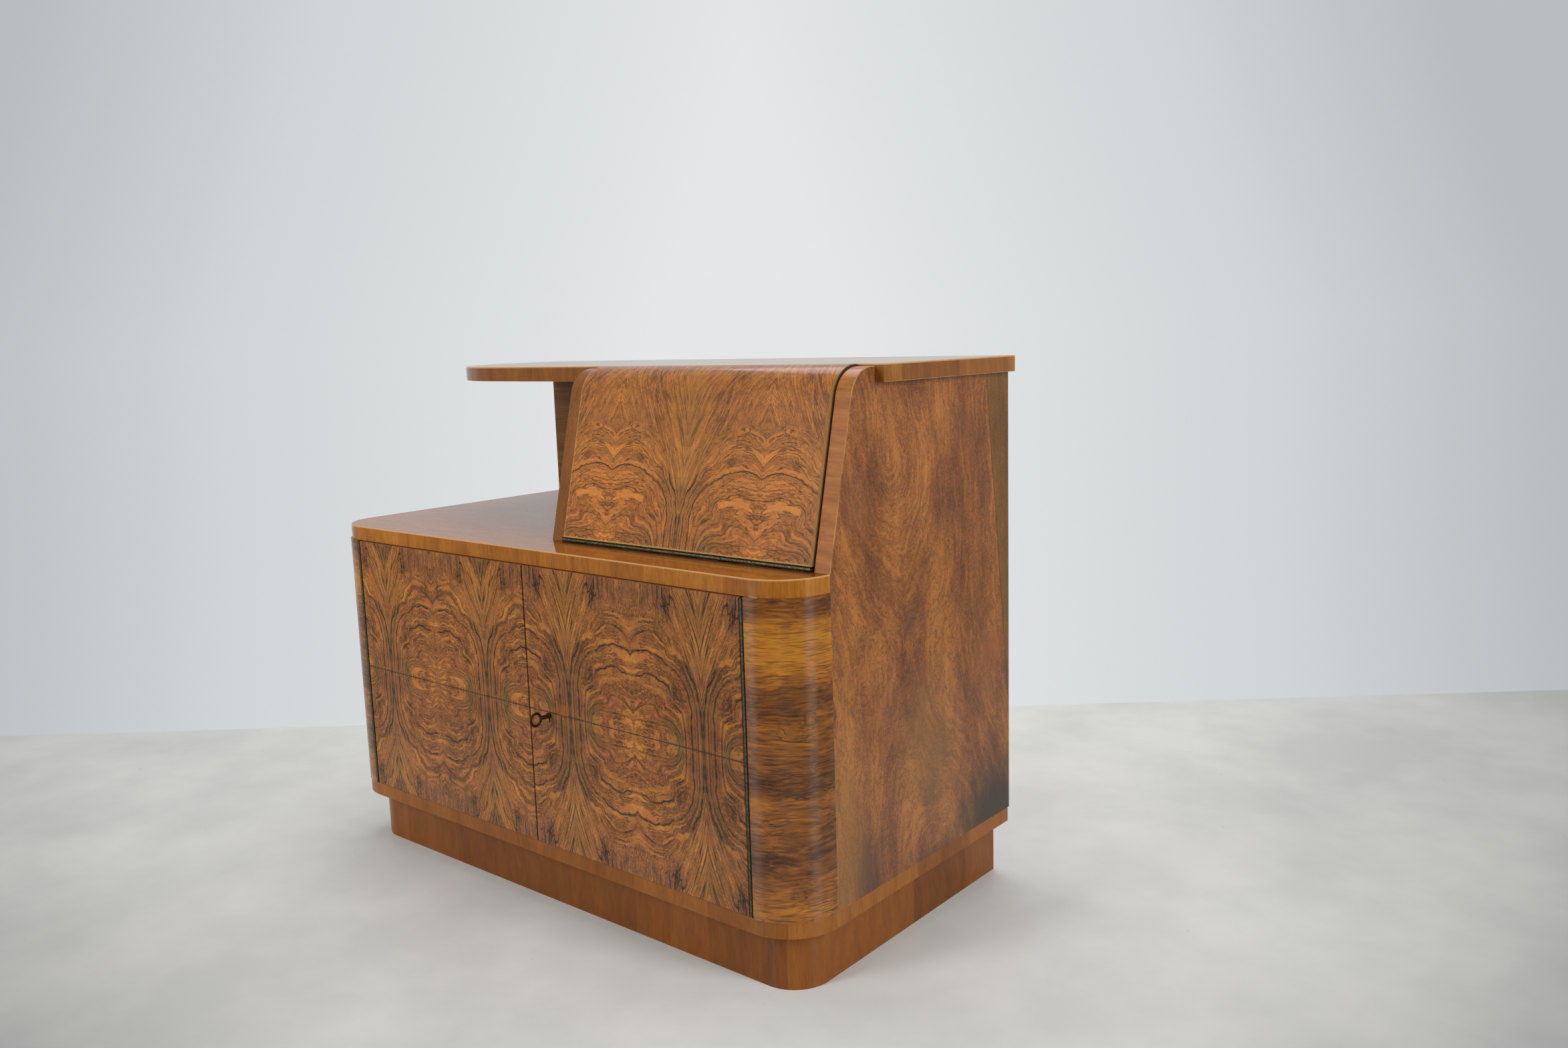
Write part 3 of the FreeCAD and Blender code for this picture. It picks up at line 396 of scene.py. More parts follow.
def mended(colour, x, z, hairs):
    """colour with a small square let in beside the keyhole, and a stain between the two."""
    middle_x, middle_z, half = 74.0, 319.0, 8.0      # mm
    gap_x, gap_z = add("SUBTRACT", x, middle_x), add("SUBTRACT", z, middle_z)
    rim = add("MAXIMUM", *[add("SUBTRACT", add("ABSOLUTE", gap), half) for gap in (gap_x, gap_z)])
    amber = add("Mix RGBA", hairs, "#6E3F14", "#9A6420")
    drift = add("CombineXYZ", add("ADD", gap_x, 16), add("ADD", gap_z, 3), 0)
    drift = add("VectorMath LENGTH", add("VectorMath MULTIPLY", drift, (0.075, 0.2, 0)))
    stain = add("MapRange", summed(drift, (hairs, 0.8)), 1.35, 0.6, 0, 0.6)
    return tinted(colour, (add("MapRange", rim, 0.2, -0.2, 0, 0.8), amber), (stain, "#7A4A1A"))


def figured_finish(side, stem, opened, seed, flame_share=1.0, lift=0.0, calm=1.0):
    """Figured veneer outside, plain walnut on the edges and inside. stem is where a stem stands, opened
    how wide a leaf is there, lift how much lighter it is."""
    material, place = new_finish("figured_walnut_veneer_" + side)
    x, z = apart(place, "XZ")
    across = add("SUBTRACT", x, stem)
    leaf = add("FLOOR", add("DIVIDE", across, opened))
    below = add("LESS_THAN", z, middle_joint)
    across = add("MULTIPLY", add("PINGPONG", across, opened), leaf_width / opened)
    if side == "flap":
        risen = add("VectorMath ADD", place, tuple(-v for v in flap_foot))
        up = add("VectorMath DOT_PRODUCT", risen, (0, math.sin(flap_lean), math.cos(flap_lean)))
    else:
        up = add("ABSOLUTE", add("SUBTRACT", z, middle_joint))
    colour, hairs = figured_leaf(across, up, seed, flame_share, calm)
    # each leaf lies turned over from its neighbour and so takes the light a little differently; the leaves
    # below the middle joint are also painted darker, as painted shade for the lesser light low down
    chance = add("TexWhiteNoise", add("CombineXYZ", leaf, below, seed))
    shade = summed(add("MapRange", chance, 0, 1, 0.9 + lift, 1.1 + lift), (below, -0.09))
    colour = add("VectorMath SCALE", colour, shade)
    if side == "flap":
        colour = lipped(colour, x, up)
    if side == "right_door":
        colour = mended(colour, x, z, hairs)
    face = add("LESS_THAN", facing("Y"), -0.15)
    tone, pores = straight_grain(place, (1, 1, 0.04), 11, seed)
    plain = plain_tones(tone, "#6E4426", "#8A5730", "#A56B38")
    # the edges that meet, facing sideways, are painted dark as painted shade, so that the gap between them
    # reads as a line
    edge = add("MapRange", add("ABSOLUTE", facing("X")), 0.5, 0.8, 0, 0.85)
    both = tinted(plain, (face, colour), (edge, "#21150C"))
    return french_polish(material, both, add("Mix FLOAT", face, pores, hairs))


by_slot["walnut_figured"] = figured_finish("left_door", -98.0, 127.0, 40.0, lift=0.09)
by_node["right_door"] = figured_finish("right_door", 90.0, 129.5, 44.0, lift=0.14)
by_node["flap"] = figured_finish("flap", 233.0, 141.5, 49.0, flame_share=0.3, lift=0.45, calm=0.66)
print("veneers", [material.name for material in bpy.data.materials])

# %% [markdown]
# ## Side veneer
# The side is one wide leaf of plainer walnut. Its grain is narrow at the waist and opens above and
# below it, with nested arches at the foot. One function, whose level lines are such arches, draws it
# all, and soft patches add the clouds and knots.

# %% Side veneer
waist_height, waist_reach = 390.0, 285.0        # mm
waist_ring = 5.5                                # the ring that the middle line meets at the waist
arch_foot, arch_lean = 70.3, -0.1835            # mm, where the middle line meets the floor, and its lean
arch_width = 24.0                               # mm from ring to ring at the foot

# Clouds, knots and stains of the leaf: middle (y, z) and half size in mm, strength and tint.
side_patches = (
    ((225, 120), (190, 130), 1.0, "#38291F"), ((70, 92), (100, 34), 0.8, "#50362B"),
    ((-112, 125), (40, 110), 0.75, "#45302A"), ((-160, 170), (60, 230), 0.5, "#86602F"),
    ((216, 372), (46, 34), 0.6, "#8E4A26"), ((-4, 450), (22, 30), 0.55, "#4C3A2C"),
    ((-60, 350), (38, 60), 0.4, "#5C3A2C"), ((40, 265), (110, 150), 0.3, "#96703C"),
    ((190, 330), (70, 110), 0.35, "#6B3E2A"), ((140, 690), (60, 75), 0.3, "#6A3F2A"),
    ((-130, 620), (60, 60), 0.35, "#6E4631"), ((52, 535), (13, 9), 0.6, "#5A4A2E"),
)


def patch(places, middle, size, ragged, strength):
    """A soft-edged spot on the side, strength in its middle and 0 at its size."""
    gaps = [add("DIVIDE", add("SUBTRACT", place, centre), reach)
        for place, centre, reach in zip(places, middle, size)]
    gap = summed(add("VectorMath LENGTH", add("CombineXYZ", *gaps, 0)), (ragged, 0.9))
    return add("MapRange SMOOTHSTEP", gap, 1.45, 0.55, 0, strength)


def side_veneer():
    material, place = new_finish("polished_walnut_veneer_side")
    x, y, z = apart(place, "XYZ")
    off = add("DIVIDE", add("SUBTRACT", y, add("MULTIPLY_ADD", z, arch_lean, arch_foot)), arch_width)
    waist = add("DIVIDE", add("SUBTRACT", z, waist_height), waist_reach)
    waist = add("SUBTRACT", 1, add("MULTIPLY", waist, waist))
    waist = add("MULTIPLY", add("MAXIMUM", waist, 0), waist_ring)
    arches = add("SQRT", add("MULTIPLY_ADD", waist, waist, add("MULTIPLY", off, off)))
    slow = add("VectorMath MULTIPLY", place, (1, 1, 0.45))
    ragged = add("TexNoise", slow, 1 / 22, 5, 0.6)
    rings = summed(arches, (add("TexNoise", slow, 1 / 95, 2), 3), (ragged, 0.7))
    flow = add("CombineXYZ", rings, add("MULTIPLY", y, 0.004), add("MULTIPLY", z, 0.004))
    bands = add("TexNoise", flow, 0.8, 1)
    hairs = add("TexNoise", flow, 3.2, 4, 0.7)
    clouds = add("TexNoise", slow, 1 / 80, 4, 0.6)
    speck = add("TexNoise", place, 1 / 3, 2, 0.7)
    tone = summed(-0.515, (clouds, 0.96), (bands, 0.27), (hairs, 0.33), (speck, 0.52))
    colour = add("ValToRGB", tone, stops=((0.32, "#5D371D"), (0.48, "#7D4B26"), (0.6, "#935B2C"),
        (0.78, "#AA6D33")))
    strength = add("MapRange", add("TexNoise", place, 1 / 55, 2), 0.46, 0.68, 0, 0.6)
    ends = contour(add("FRACT", add("MULTIPLY", rings, 1.25)), 0.11, 0.015)
    lines = add("MAXIMUM", add("MULTIPLY", ends, strength),
        add("MapRange", hairs, 0.4, 0.26, 0, 0.45), contour(hairs, 0.026, 0.008, 0.52))
    colour = tinted(colour, (lines, "#442D20"))
    for middle, size, depth, tint in side_patches:
        colour = tinted(colour, (patch((y, z), middle, size, ragged, depth), tint))
    # painted light and shade: the side is painted darker towards the floor and lighter towards the top, for
    # light that falls from above
    colour = add("VectorMath SCALE", colour, add("MapRange", z, 60, 640, 0.89, 1.15))
    # sapwood along the back edge, paler and greener behind a dark line
    sap_edge = summed(add("MapRange", z, 435, 740, 237, 199, clamp=False), (ragged, 5))
    past = add("SUBTRACT", y, sap_edge)
    sapwood = add("ValToRGB", tone, stops=((0.32, "#5D3F1A"), (0.6, "#765022"), (0.78, "#7F5A26")))
    border = add("MapRange", add("ABSOLUTE", past), 2.2, 0.2, 0, 0.6)
    colour = tinted(colour, (add("MapRange", past, -1, 1.5, 0, 0.85), sapwood), (border, "#3C2818"))
    outer = add("GREATER_THAN", add("MULTIPLY", facing("X"), x), 300)
    band = straight_grain(place, (0.06, 1, 1), seed=4.0)[0]
    band = plain_tones(band, "#84491E", "#A0622C", "#B5763A")
    return french_polish(material, worn(place, tinted(band, (outer, colour)), "X"), hairs)


by_slot["walnut_side"] = side_veneer()
print("the side's leaf is narrowest at", waist_height, "mm above the floor")

# %% [markdown]
# ## Corner shells
# The grain lies down on the two round corners, so that a leaf bends round them without cracking. The
# leaf changes tone with height: brown at the foot, then a honey band, and dark at the top. A curve over
# the height sets that tone, and noise is added to it, so that no band has a straight edge.

# %% Corner shells
shell_foot, shell_top = 104.5, 523.5        # mm above the floor
leaf_tones = ((0, 0.62), (0.1, 0.54), (0.2, 0.4), (0.3, 0.5), (0.36, 0.58), (0.42, 0.38), (0.52, 0.47),
        (0.6, 0.56), (0.68, 0.44), (0.76, 0.62), (0.84, 0.86), (0.9, 0.76), (0.95, 0.5), (1, 0.38))


def corner_veneer():
    material, place = new_finish("cross_grain_walnut_veneer")
    height = add("MapRange", add("SeparateXYZ", place, out="Z"), shell_foot, shell_top)
    level = add("FloatCurve", None, height, points=leaf_tones)
    wave = add("VectorMath SCALE", add("TexNoise", place, 1 / 70, 1, out="Color"), 24)
    lying = add("VectorMath ADD", add("VectorMath MULTIPLY", place, (0.05, 0.05, 1)), wave)
    bands = add("TexNoise", lying, 1 / 15, 3, 0.6)
    fibres = add("TexNoise", lying, 1 / 3.2, 3, 0.7)
    clouds = add("TexNoise", place, 1 / 38, 3)
    tone = summed(-0.665, (level, 0.92), (bands, 0.46), (clouds, 0.26), (fibres, 0.76))
    colour = add("ValToRGB", tone, stops=((0.28, "#3E220A"), (0.42, "#5F3611"), (0.55, "#7B4918"),
        (0.7, "#975C1E"), (0.86, "#AE711D")))
    # long dark streaks, most of them in the lower half, and short dashes
    streak = add("MULTIPLY", contour(add("TexNoise", lying, 1 / 12, 3), 0.028, 0.008),
        add("MapRange", add("TexNoise", place, 1 / 36, 2), 0.46, 0.6, 0, 0.8),
        add("MapRange", height, 0.8, 0.6, 0.2, 1))
    dashes = add("TexNoise", add("VectorMath MULTIPLY", place, (0.06, 0.06, 1)), 1 / 1.7, 1)
    streak = add("MAXIMUM", streak, add("MapRange", dashes, 0.46, 0.36, 0, 0.5))
    return french_polish(material, tinted(colour, (streak, "#2C1C12")), fibres,
        coat_roughness=0.1, level=0.16, along=add("CombineXYZ", 0, 0, 1), sheen_width=0.42)


by_slot["walnut_crossband"] = corner_veneer()
print("honey band at", round(shell_foot + 0.86 * (shell_top - shell_foot)), "mm above the floor")

# %% [markdown]
# ## Plain veneers
# Edges and the plinth are cross-banded: short pieces lie side by side with the grain upright, so the
# tone jumps every hand's breadth. White noise of a piece's number picks its tone. Flat tops carry long
# lying grain instead, and the object's normal tells the two apart.

# %% Plain veneers
rims = (546.5, 800.0)       # mm, the upper edges of the tops, which hands have rubbed pale
upright_way, lengthwise = (0, 0, 1), (1, 0, 0)


def cross_banded(name, upright_colours, lying_colours, seed, coat=0.55, contrast=0.9, is_top=False,
        painted_shadow_from=None, bevels=True):
    """Upright grain in short pieces on edges, lying grain on level faces. A top has pale rims, drawn 2 mm
    wide. A place (x, y) may be given where a painted shadow starts: level faces past it are painted darker,
    for the shade at the flap's foot."""
    piece_width = 140.0     # mm
    material, place = new_finish("cross_banded_walnut_" + name)
    x, y, z = apart(place, "XYZ")
    piece = add("MULTIPLY_ADD", add("ADD", x, y), 1 / piece_width, seed)
    chance = add("TexWhiteNoise", add("FLOOR", piece), noise_dimensions="1D")
    upright, pores = straight_grain(place, (1, 1, 0.05), 30, seed)
    upright = add("MULTIPLY_ADD", upright, contrast, 0.5 * (1 - contrast))
    upright = add("ADD", upright, add("MapRange", chance, 0, 1, -0.09, 0.09))
    lying, lying_pores = straight_grain(place, (0.05, 1, 1), 16, seed + 1)
    level = add("GREATER_THAN", add("ABSOLUTE", facing("Z")), 0.9)
    colour = tinted(plain_tones(upright, *upright_colours), (level, plain_tones(lying, *lying_colours)))
    pores = add("Mix FLOAT", level, pores, lying_pores)
    colour = darkened(colour, pores, 0.22)
    # painted shadow at the flap's foot: level faces past the given place are painted darker
    if painted_shadow_from:
        painted_shadow = add("MULTIPLY", add("MapRange", y, painted_shadow_from[1], painted_shadow_from[1] + 14, 0, 0.62),
            add("GREATER_THAN", x, painted_shadow_from[0]), level)
        colour = tinted(colour, (painted_shadow, "#24160C"))
    if bevels:
        colour = worn(place, colour, "Z")
    for rim in rims if is_top else ():
        rubbed = add("MULTIPLY", add("COMPARE", z, rim - 1, 0.95), 0.62)
        colour = tinted(colour, (rubbed, "#D2A06A"))
    return french_polish(material, colour, pores, coat_roughness=0.09, coat=coat, level=0.08,
        along=add("Mix VECTOR", level, upright_way, lengthwise), sheen_width=0.5)


def plain_finish(name, squeeze, colours, seed):
    """Long grain of one kind all over."""
    material, place = new_finish(name)
    tone, pores = straight_grain(place, squeeze, seed=seed)
    colour = darkened(plain_tones(tone, *colours), pores, 0.35)
    return french_polish(material, colour, pores, coat=0.4)


dull_colours, panel_colours = ("#4E2E18", "#603A20", "#74492A"), ("#6E411C", "#875427", "#9E6834")
# The boards' lying colours are brighter and more orange than their wood: partly painted reflection of the
# flap, which the polished top mirrors in front of it.
by_slot["walnut_board"] = cross_banded(
    "boards", ("#834912", "#A0621D", "#B9792C"), ("#8A4E10", "#9E5B16", "#B0691F"), 0.05, coat=0.75,
    # the painted shadow at the flap's foot starts here
    is_top=True, painted_shadow_from=(-12.0, -206.0))
by_node["upper_board"] = cross_banded(
    "upper_board", ("#703E0F", "#895318", "#A06825"), ("#7C542B", "#926637", "#A57943"), 0.6, coat=0.75,
    is_top=True)
by_slot["walnut_plinth"] = cross_banded(
    "plinth", ("#5B320D", "#784416", "#8F5521"), dull_colours, 0.4, coat=0.35, contrast=0.6)
by_node["bottom_board"] = cross_banded(
    "bottom", ("#6C3C12", "#86501D", "#9C6228"), dull_colours, 0.4, coat=0.35, contrast=0.7)
by_node["compartment_panel"] = cross_banded("panel", panel_colours, panel_colours, 0.7, bevels=False)
# The walnut_dark slot's colours are darker than its wood: painted shade for the upper back, which stands in
# the shadow under the upper board.
for slot, name, squeeze, colours, seed in (
        ("walnut_dark", "dark_polished_walnut", (0.03, 1, 1), ("#4E3018", "#65421F", "#7A5228"), 6),
        ("interior_wood", "satin_varnished_walnut", (0.04, 1, 1), ("#8A5C34", "#A3713F", "#B98A56"), 7),
        ("beech", "planed_beech", (0.04, 1, 1), ("#A98254", "#BE9667", "#CFAB7E"), 8),
        ("plywood", "birch_plywood", (1, 1, 0.04), ("#9C774B", "#B28D60", "#C4A276"), 9)):
    by_slot[slot] = plain_finish(name, squeeze, colours, seed)
print("materials so far", len(bpy.data.materials))

# %% [markdown]
# ## Metals and glass
# The hinges are rolled brass; where their knuckles turn away from the front they are painted nearly black, as
# painted shade for the groove they sit in. The lock plate and the bolts are satin brass, the plywood's screws
# steel, the key forged iron. A noise of stains drives both colour and roughness, so that the duller spots are
# also the rougher ones.

# %% Metals and glass
def metal_finish(name, dark, light, roughness, metallic=1.0, lit_way=None, stain_size=3.0):
    """Metal with stains. Where it turns away from the lit way given, it is painted dark: painted shade."""
    material, place = new_finish(name)
    stain = add("TexNoise", place, 1 / stain_size, 5, 0.7)
    colour = add("ValToRGB", stain, stops=((0.35, dark), (0.65, light)))
    if lit_way:
        # painted shade: faces turned from the lit way are painted nearly black
        lit_amount = add("VectorMath DOT_PRODUCT", add("TexCoord", out="Normal"), lit_way)
        colour = tinted(colour, (add("MapRange", lit_amount, 0.92, 0.7, 0, 0.9), "#120F0B"))
    rough = add("MapRange", stain, 0.3, 0.7, roughness + 0.12, roughness)
    return shaded(material, {"Base Color": colour, "Roughness": rough, "Metallic": metallic})


def glass_finish(name, haze, look):
    """A smooth pane with a breath of haze on it."""
    material, place = new_finish(name)
    rough = add("MapRange", add("TexNoise", place, 1 / 40, 4), 0, 1, 0, haze)
    return shaded(material, {"Roughness": rough, **look})


by_slot["hinge_brass"] = metal_finish("aged_brass_hinge", "#37342A", "#746E54", 0.5, lit_way=(0, -1, 0))
by_slot["fitting_brass"] = metal_finish("satin_brass", "#A88C50", "#C9A964", 0.3, stain_size=12.0)
by_slot["steel"] = metal_finish("plain_steel", "#6E6C68", "#8E8C88", 0.38)
by_slot["key_iron"] = metal_finish("dark_iron", "#241B16", "#4A3A30", 0.5, metallic=0.8)
by_slot["mirror_glass"] = glass_finish("silvered_mirror", 0.06, {"Base Color": "#E4E8E6", "Metallic": 1.0})
by_slot["shelf_glass"] = glass_finish(
    "clear_glass", 0.05, {"Base Color": "#E6F2EC", "IOR": 1.52, "Transmission Weight": 1.0})
print("slots that have a finish", len(by_slot))

# %% [markdown]
# ## Give every node its finish
# The model's record says what each node is made of. Most nodes take the finish of their slot; the five
# that need one of their own are named above. So a part that is added later is finished by itself.

# %% Give every node its finish
for part in frame["record"]["subparts"]:
    piece = nodes[part["node"]]
    piece.data.materials.clear()
    piece.data.materials.append(by_node.get(part["node"], by_slot[part["material_slot"]]))
print("finished", len(nodes), "nodes")

# %% [markdown]
# ## Piano hinges
# A piano hinge is brass strip, punched and rolled round a wire, so that each leaf's knuckles fall into
# the other's gaps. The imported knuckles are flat-sided; here each leaf is drawn again with round ones.
# Geometry Nodes puts a knuckle on each point of a list, stretched to that point's own reach, because
# the first and last knuckles are shorter.

# %% Node groups for repeated things
def new_group(name, **inputs):
    """A geometry node group that takes points and more inputs, and these inputs."""
    add.tree = tree = bpy.data.node_groups.new(name, "GeometryNodeTree")
    for label, kind in {"Points": "Geometry", **inputs}.items():
        tree.interface.new_socket(label, in_out="INPUT", socket_type="NodeSocket" + kind)
    tree.interface.new_socket("Result", in_out="OUTPUT", socket_type="NodeSocketGeometry")
    return tree, tree.nodes.new("NodeGroupInput").outputs


def on_points(given, instance, scale, rotation=None):
    """A copy of instance on each point, made into one mesh."""
    copies = add("GeometryNodeInstanceOnPoints", into={
        "Points": given["Points"], "Instance": instance, "Rotation": rotation, "Scale": scale})
    return add("GeometryNodeRealizeInstances", copies)


def noted(label, kind="FLOAT"):
    """A number or vector that is kept on the points."""
    return add("GeometryNodeInputNamedAttribute " + kind, label)


def grown(name, places, tree, values, **notes):
    """What a node group makes of points at places, to draw on. Each note is a list of numbers or
    vectors, kept on the points."""
    mesh = bpy.data.meshes.new(name)
    mesh.from_pydata(places, [], [])
    for label, kept in notes.items():
        is_vector = hasattr(kept[0], "__len__")
        note = mesh.attributes.new(label, "FLOAT_VECTOR" if is_vector else "FLOAT", "POINT")
        flat = [part for value in kept for part in value] if is_vector else kept
        note.data.foreach_set("vector" if is_vector else "value", flat)
    helper = placed(name, mesh)
    modifier = helper.modifiers.new(name, "NODES")
    modifier.node_group = tree
    for item in tree.interface.items_tree:
        if item.name in values:
            modifier[item.identifier] = values[item.name]
    bpy.context.view_layer.update()
    shape = bmesh.new()
    shape.from_object(helper, bpy.context.evaluated_depsgraph_get())
    bpy.data.objects.remove(helper)
    return shape


def put(name, shape, body, slot, stands_for=()):
    """Makes a finished piece of what was drawn: it rides on a body and takes a slot's finish."""
    shape.normal_update()
    bmesh.ops.recalc_face_normals(shape, faces=shape.faces)
    piece = placed(name, bpy.data.meshes.new(name))
    shape.to_mesh(piece.data)
    shape.free()
    piece.data.materials.append(by_slot[slot])
    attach(piece, body)
    if stands_for:
        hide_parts(*stands_for)
    return piece


def knuckle_group():
    tree, given = new_group("roll_knuckles", Outside="Float", Inside="Float")
    walls = given["Outside"], given["Inside"]
    path = add("GeometryNodeCurvePrimitiveCircle", into={
        "Resolution": 28, "Radius": add("MULTIPLY", add("ADD", *walls), 0.5)})
    section = add("GeometryNodeCurvePrimitiveQuadrilateral", add("SUBTRACT", *walls), 1.0)
    ring = add("GeometryNodeCurveToMesh", path, section)
    add("NodeGroupOutput", on_points(given, ring, add("CombineXYZ", 1, 1, noted("reach"))))
    return tree


knuckle_tree = knuckle_group()
print("nodes that make a knuckle:", len(knuckle_tree.nodes))

# %% [markdown]
# ## Hinge leaves
# The strip is drawn as one outline with teeth, and the knuckles from the node group stand on the
# teeth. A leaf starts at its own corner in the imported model, so that both still turn about one wire.

# %% Hinge leaves
knuckle_pitch, knuckle_gap = 0.0365, 0.0003     # m
knuckle_radius, wire_hole = 0.003, 0.0013
leaf_gap, leaf_thickness = 0.0033, 0.001        # from the hinge axis to the wood, and the brass
leaf_root = leaf_gap + knuckle_gap
first_screw, screw_radius = 1.25, 2.4           # pitches from the hinge's start, and the head's in mm
half_turn = Matrix.Rotation(math.pi, 4, "Y")
quarter_turn = Matrix.Rotation(math.pi / 2, 4, "Y")
mirror = Matrix.Scale(-1, 4, (1, 0, 0))


def knuckle_spans(length, leaf):
    """Start and end of one leaf's knuckles along the hinge; leaf 0 has the half knuckle at the start."""
    spans, start, end, owner = [], 0.0, knuckle_pitch / 2, 0
    while start < length - knuckle_pitch / 4:
        if end > length - knuckle_pitch / 4:
            end = length
        if owner == leaf:
            spans.append((start + knuckle_gap / 2, end - knuckle_gap / 2))
        start, end, owner = end, end + knuckle_pitch, 1 - owner
    return spans


def block(shape, low, high):
    """A block between two outlines of as many points."""
    low, high = [[shape.verts.new(spot) for spot in outline] for outline in (low, high)]
    shape.faces.new(low)
    shape.faces.new(reversed(high))
    for i in range(len(low)):
        j = (i + 1) % len(low)
        shape.faces.new((low[i], high[i], high[j], low[j]))


def hinge_leaf(node, leaf, side, body, turn, axis):
    """Draws a packed leaf again and returns the spots of its screws, at every second knuckle. leaf tells
    which of the two it is and side (+1, -1) which way it lies; turn stands the hinge up at axis."""
    low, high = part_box(node)
    lengthwise = 0 if turn == quarter_turn else 2
    length, width = high[lengthwise] - low[lengthwise], high[1] - axis[1]
    spans = knuckle_spans(length, leaf)
    shape = grown(node, [(0.0, 0.0, (a + b) / 2) for a, b in spans], knuckle_tree,
        {"Outside": knuckle_radius, "Inside": wire_hole}, reach=[b - a for a, b in spans])
    outline = [(width, 0.0)]
    for start, end in spans:
        outline += [(leaf_root, start), (0.0, start), (0.0, end), (leaf_root, end)]
    outline += [(width, length)]
    if spans[0][0] > knuckle_gap:
        outline.insert(1, (leaf_root, 0.0))
    if spans[-1][1] < length - knuckle_gap:
        outline.insert(-1, (leaf_root, length))
    faces = side * leaf_gap, side * (leaf_gap - leaf_thickness)
    block(shape, *[[(x, y, z) for y, z in outline] for x in faces])
    for face in shape.faces:
        face.smooth = False
    stood = Matrix.Translation(axis) @ turn
    shape.transform(stood)
    put(node + "_rolled", shape, body, "hinge_brass", (node,))
    way = tuple(turn.to_3x3() @ Vector((-side, 0, 0)))
    steps = [(2 * i + first_screw) * knuckle_pitch for i in range(int(length / (2 * knuckle_pitch)))]
    middle = (leaf_root + width) / 2
    return [(tuple(stood @ Vector((faces[1], middle, step)) * 1000), way, screw_radius) for step in steps]


door_hinge_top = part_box("right_hinge_door_leaf")[1][2]
right_axis, left_axis = [Vector((x, -0.258, door_hinge_top)) for x in (0.421, -0.421)]
flap_axis = Vector((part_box("flap_hinge_flap_leaf")[0][0], -0.18351, 0.5498))
hinges = (("right_hinge_", "door_leaf", "right_door_body", -1, half_turn, right_axis),
    ("left_hinge_", "door_leaf", "left_door_body", -1, mirror @ half_turn, left_axis),
    ("flap_hinge_", "flap_leaf", "flap_body", 1, quarter_turn, flap_axis))
hinge_spots = {"carcass": [], "right_door_body": [], "left_door_body": [], "flap_body": []}
for hinge, moving_leaf, moving_body, side, turn, axis in hinges:
    for leaf, name, body, way in ((0, "frame_leaf", "carcass", side), (1, moving_leaf, moving_body, -side)):
        hinge_spots[body] += hinge_leaf(hinge + name, leaf, way, body, turn, axis)
        there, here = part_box(hinge + name)[0], bpy.data.objects[hinge + name + "_rolled"].bound_box[0]
        print(name, "starts at", [round(v, 4) for v in there], "and here", [round(v, 4) for v in here])

# %% [markdown]
# ## Screws
# Small slotted brass screws hold the hinges, the lock and the bolts. One head is modelled: two half
# rounds with a slot between them on a thin disc. The node group stands a copy on each point, turns it
# towards that point's way and gives each slot its own angle from a fixed seed.

# %% Screw head
def slotted_head():
    """A flat-domed screw head, 2 units across, that stands on the XY plane."""
    shape = bmesh.new()
    slot, rim, crown, steps = 0.16, 0.1, 0.26, 7        # half the slot, two heights, sides of an arc
    crown_radius, disc_radius, disc_height = 0.7, 0.97, 0.07
    start = math.asin(slot)
    arc = [start + (math.pi - 2 * start) * i / steps for i in range(steps + 1)]
    for way in (1, -1):
        foot, edge = [[shape.verts.new((math.cos(a), way * math.sin(a), z)) for a in arc] for z in (0.0, rim)]
        rise = [(crown_radius * math.cos(a), way * max(crown_radius * math.sin(a), slot)) for a in arc]
        top = [shape.verts.new((x, y, crown)) for x, y in rise]
        for lower, upper in ((foot, edge), (edge, top)):
            for i in range(steps):
                shape.faces.new((lower[i], lower[i + 1], upper[i + 1], upper[i]))
        shape.faces.new(top)
        shape.faces.new((foot[0], edge[0], top[0], top[-1], edge[-1], foot[-1]))
        shape.faces.new(reversed(foot))
    disc = [(math.cos(a), math.sin(a)) for a in [2 * math.pi * i / 12 for i in range(12)]]
    block(shape, *[[(disc_radius * x, disc_radius * y, z) for x, y in disc] for z in (0.0, disc_height)])
    mesh = bpy.data.meshes.new("slotted_head")
    shape.to_mesh(mesh)
    shape.free()
    return bpy.data.objects.new("slotted_head", mesh)


def stood_up():
    """The rotation that stands a copy up along its point's own way."""
    return add("FunctionNodeAlignRotationToVector", None, None, noted("way", "FLOAT_VECTOR"), axis="Z")


def screw_group():
    tree, given = new_group("drive_screws", Head="Object", Seed="Int")
    head = add("GeometryNodeObjectInfo", given["Head"], out="Geometry")
    angle = add("FunctionNodeRandomValue FLOAT_VECTOR", (0, 0, 0), (0, 0, math.pi), None, given["Seed"])
    turned = add("FunctionNodeRotateRotation", stood_up(), add("FunctionNodeEulerToRotation", angle),
        rotation_space="LOCAL")
    add("NodeGroupOutput", on_points(given, head, noted("size"), turned))
    return tree


head = slotted_head()
screw_tree = screw_group()
print("faces of a screw's head:", len(head.data.polygons))

# %% Drive the screws
def at_spots(name, spots, tree, values):
    """What grows at spots: (place in mm, way that a screw faces, radius of its head in mm)."""
    places, ways, sizes = zip(*spots)
    return grown(name, [Vector(place) / 1000 for place in places], tree, values, way=ways,
        size=[size / 1000 for size in sizes])


def drive_screws(name, body, spots, slot, seed):
    put(name, at_spots(name, spots, screw_tree, {"Head": head, "Seed": seed}), body, slot)


def on_plate(node, way, inset, radius):
    """Spots on the face of a plate that looks way, inset from both ends of an axis or in its middle."""
    rows = []
    for low, high, outwards, edge in zip(*box_mm(node), way, inset):
        if outwards:
            rows.append([high if outwards > 0 else low])
        else:
            rows.append([low + edge, high - edge] if edge else [(low + high) / 2])
    return [((x, y, z), way, radius) for x in rows[0] for y in rows[1] for z in rows[2]]


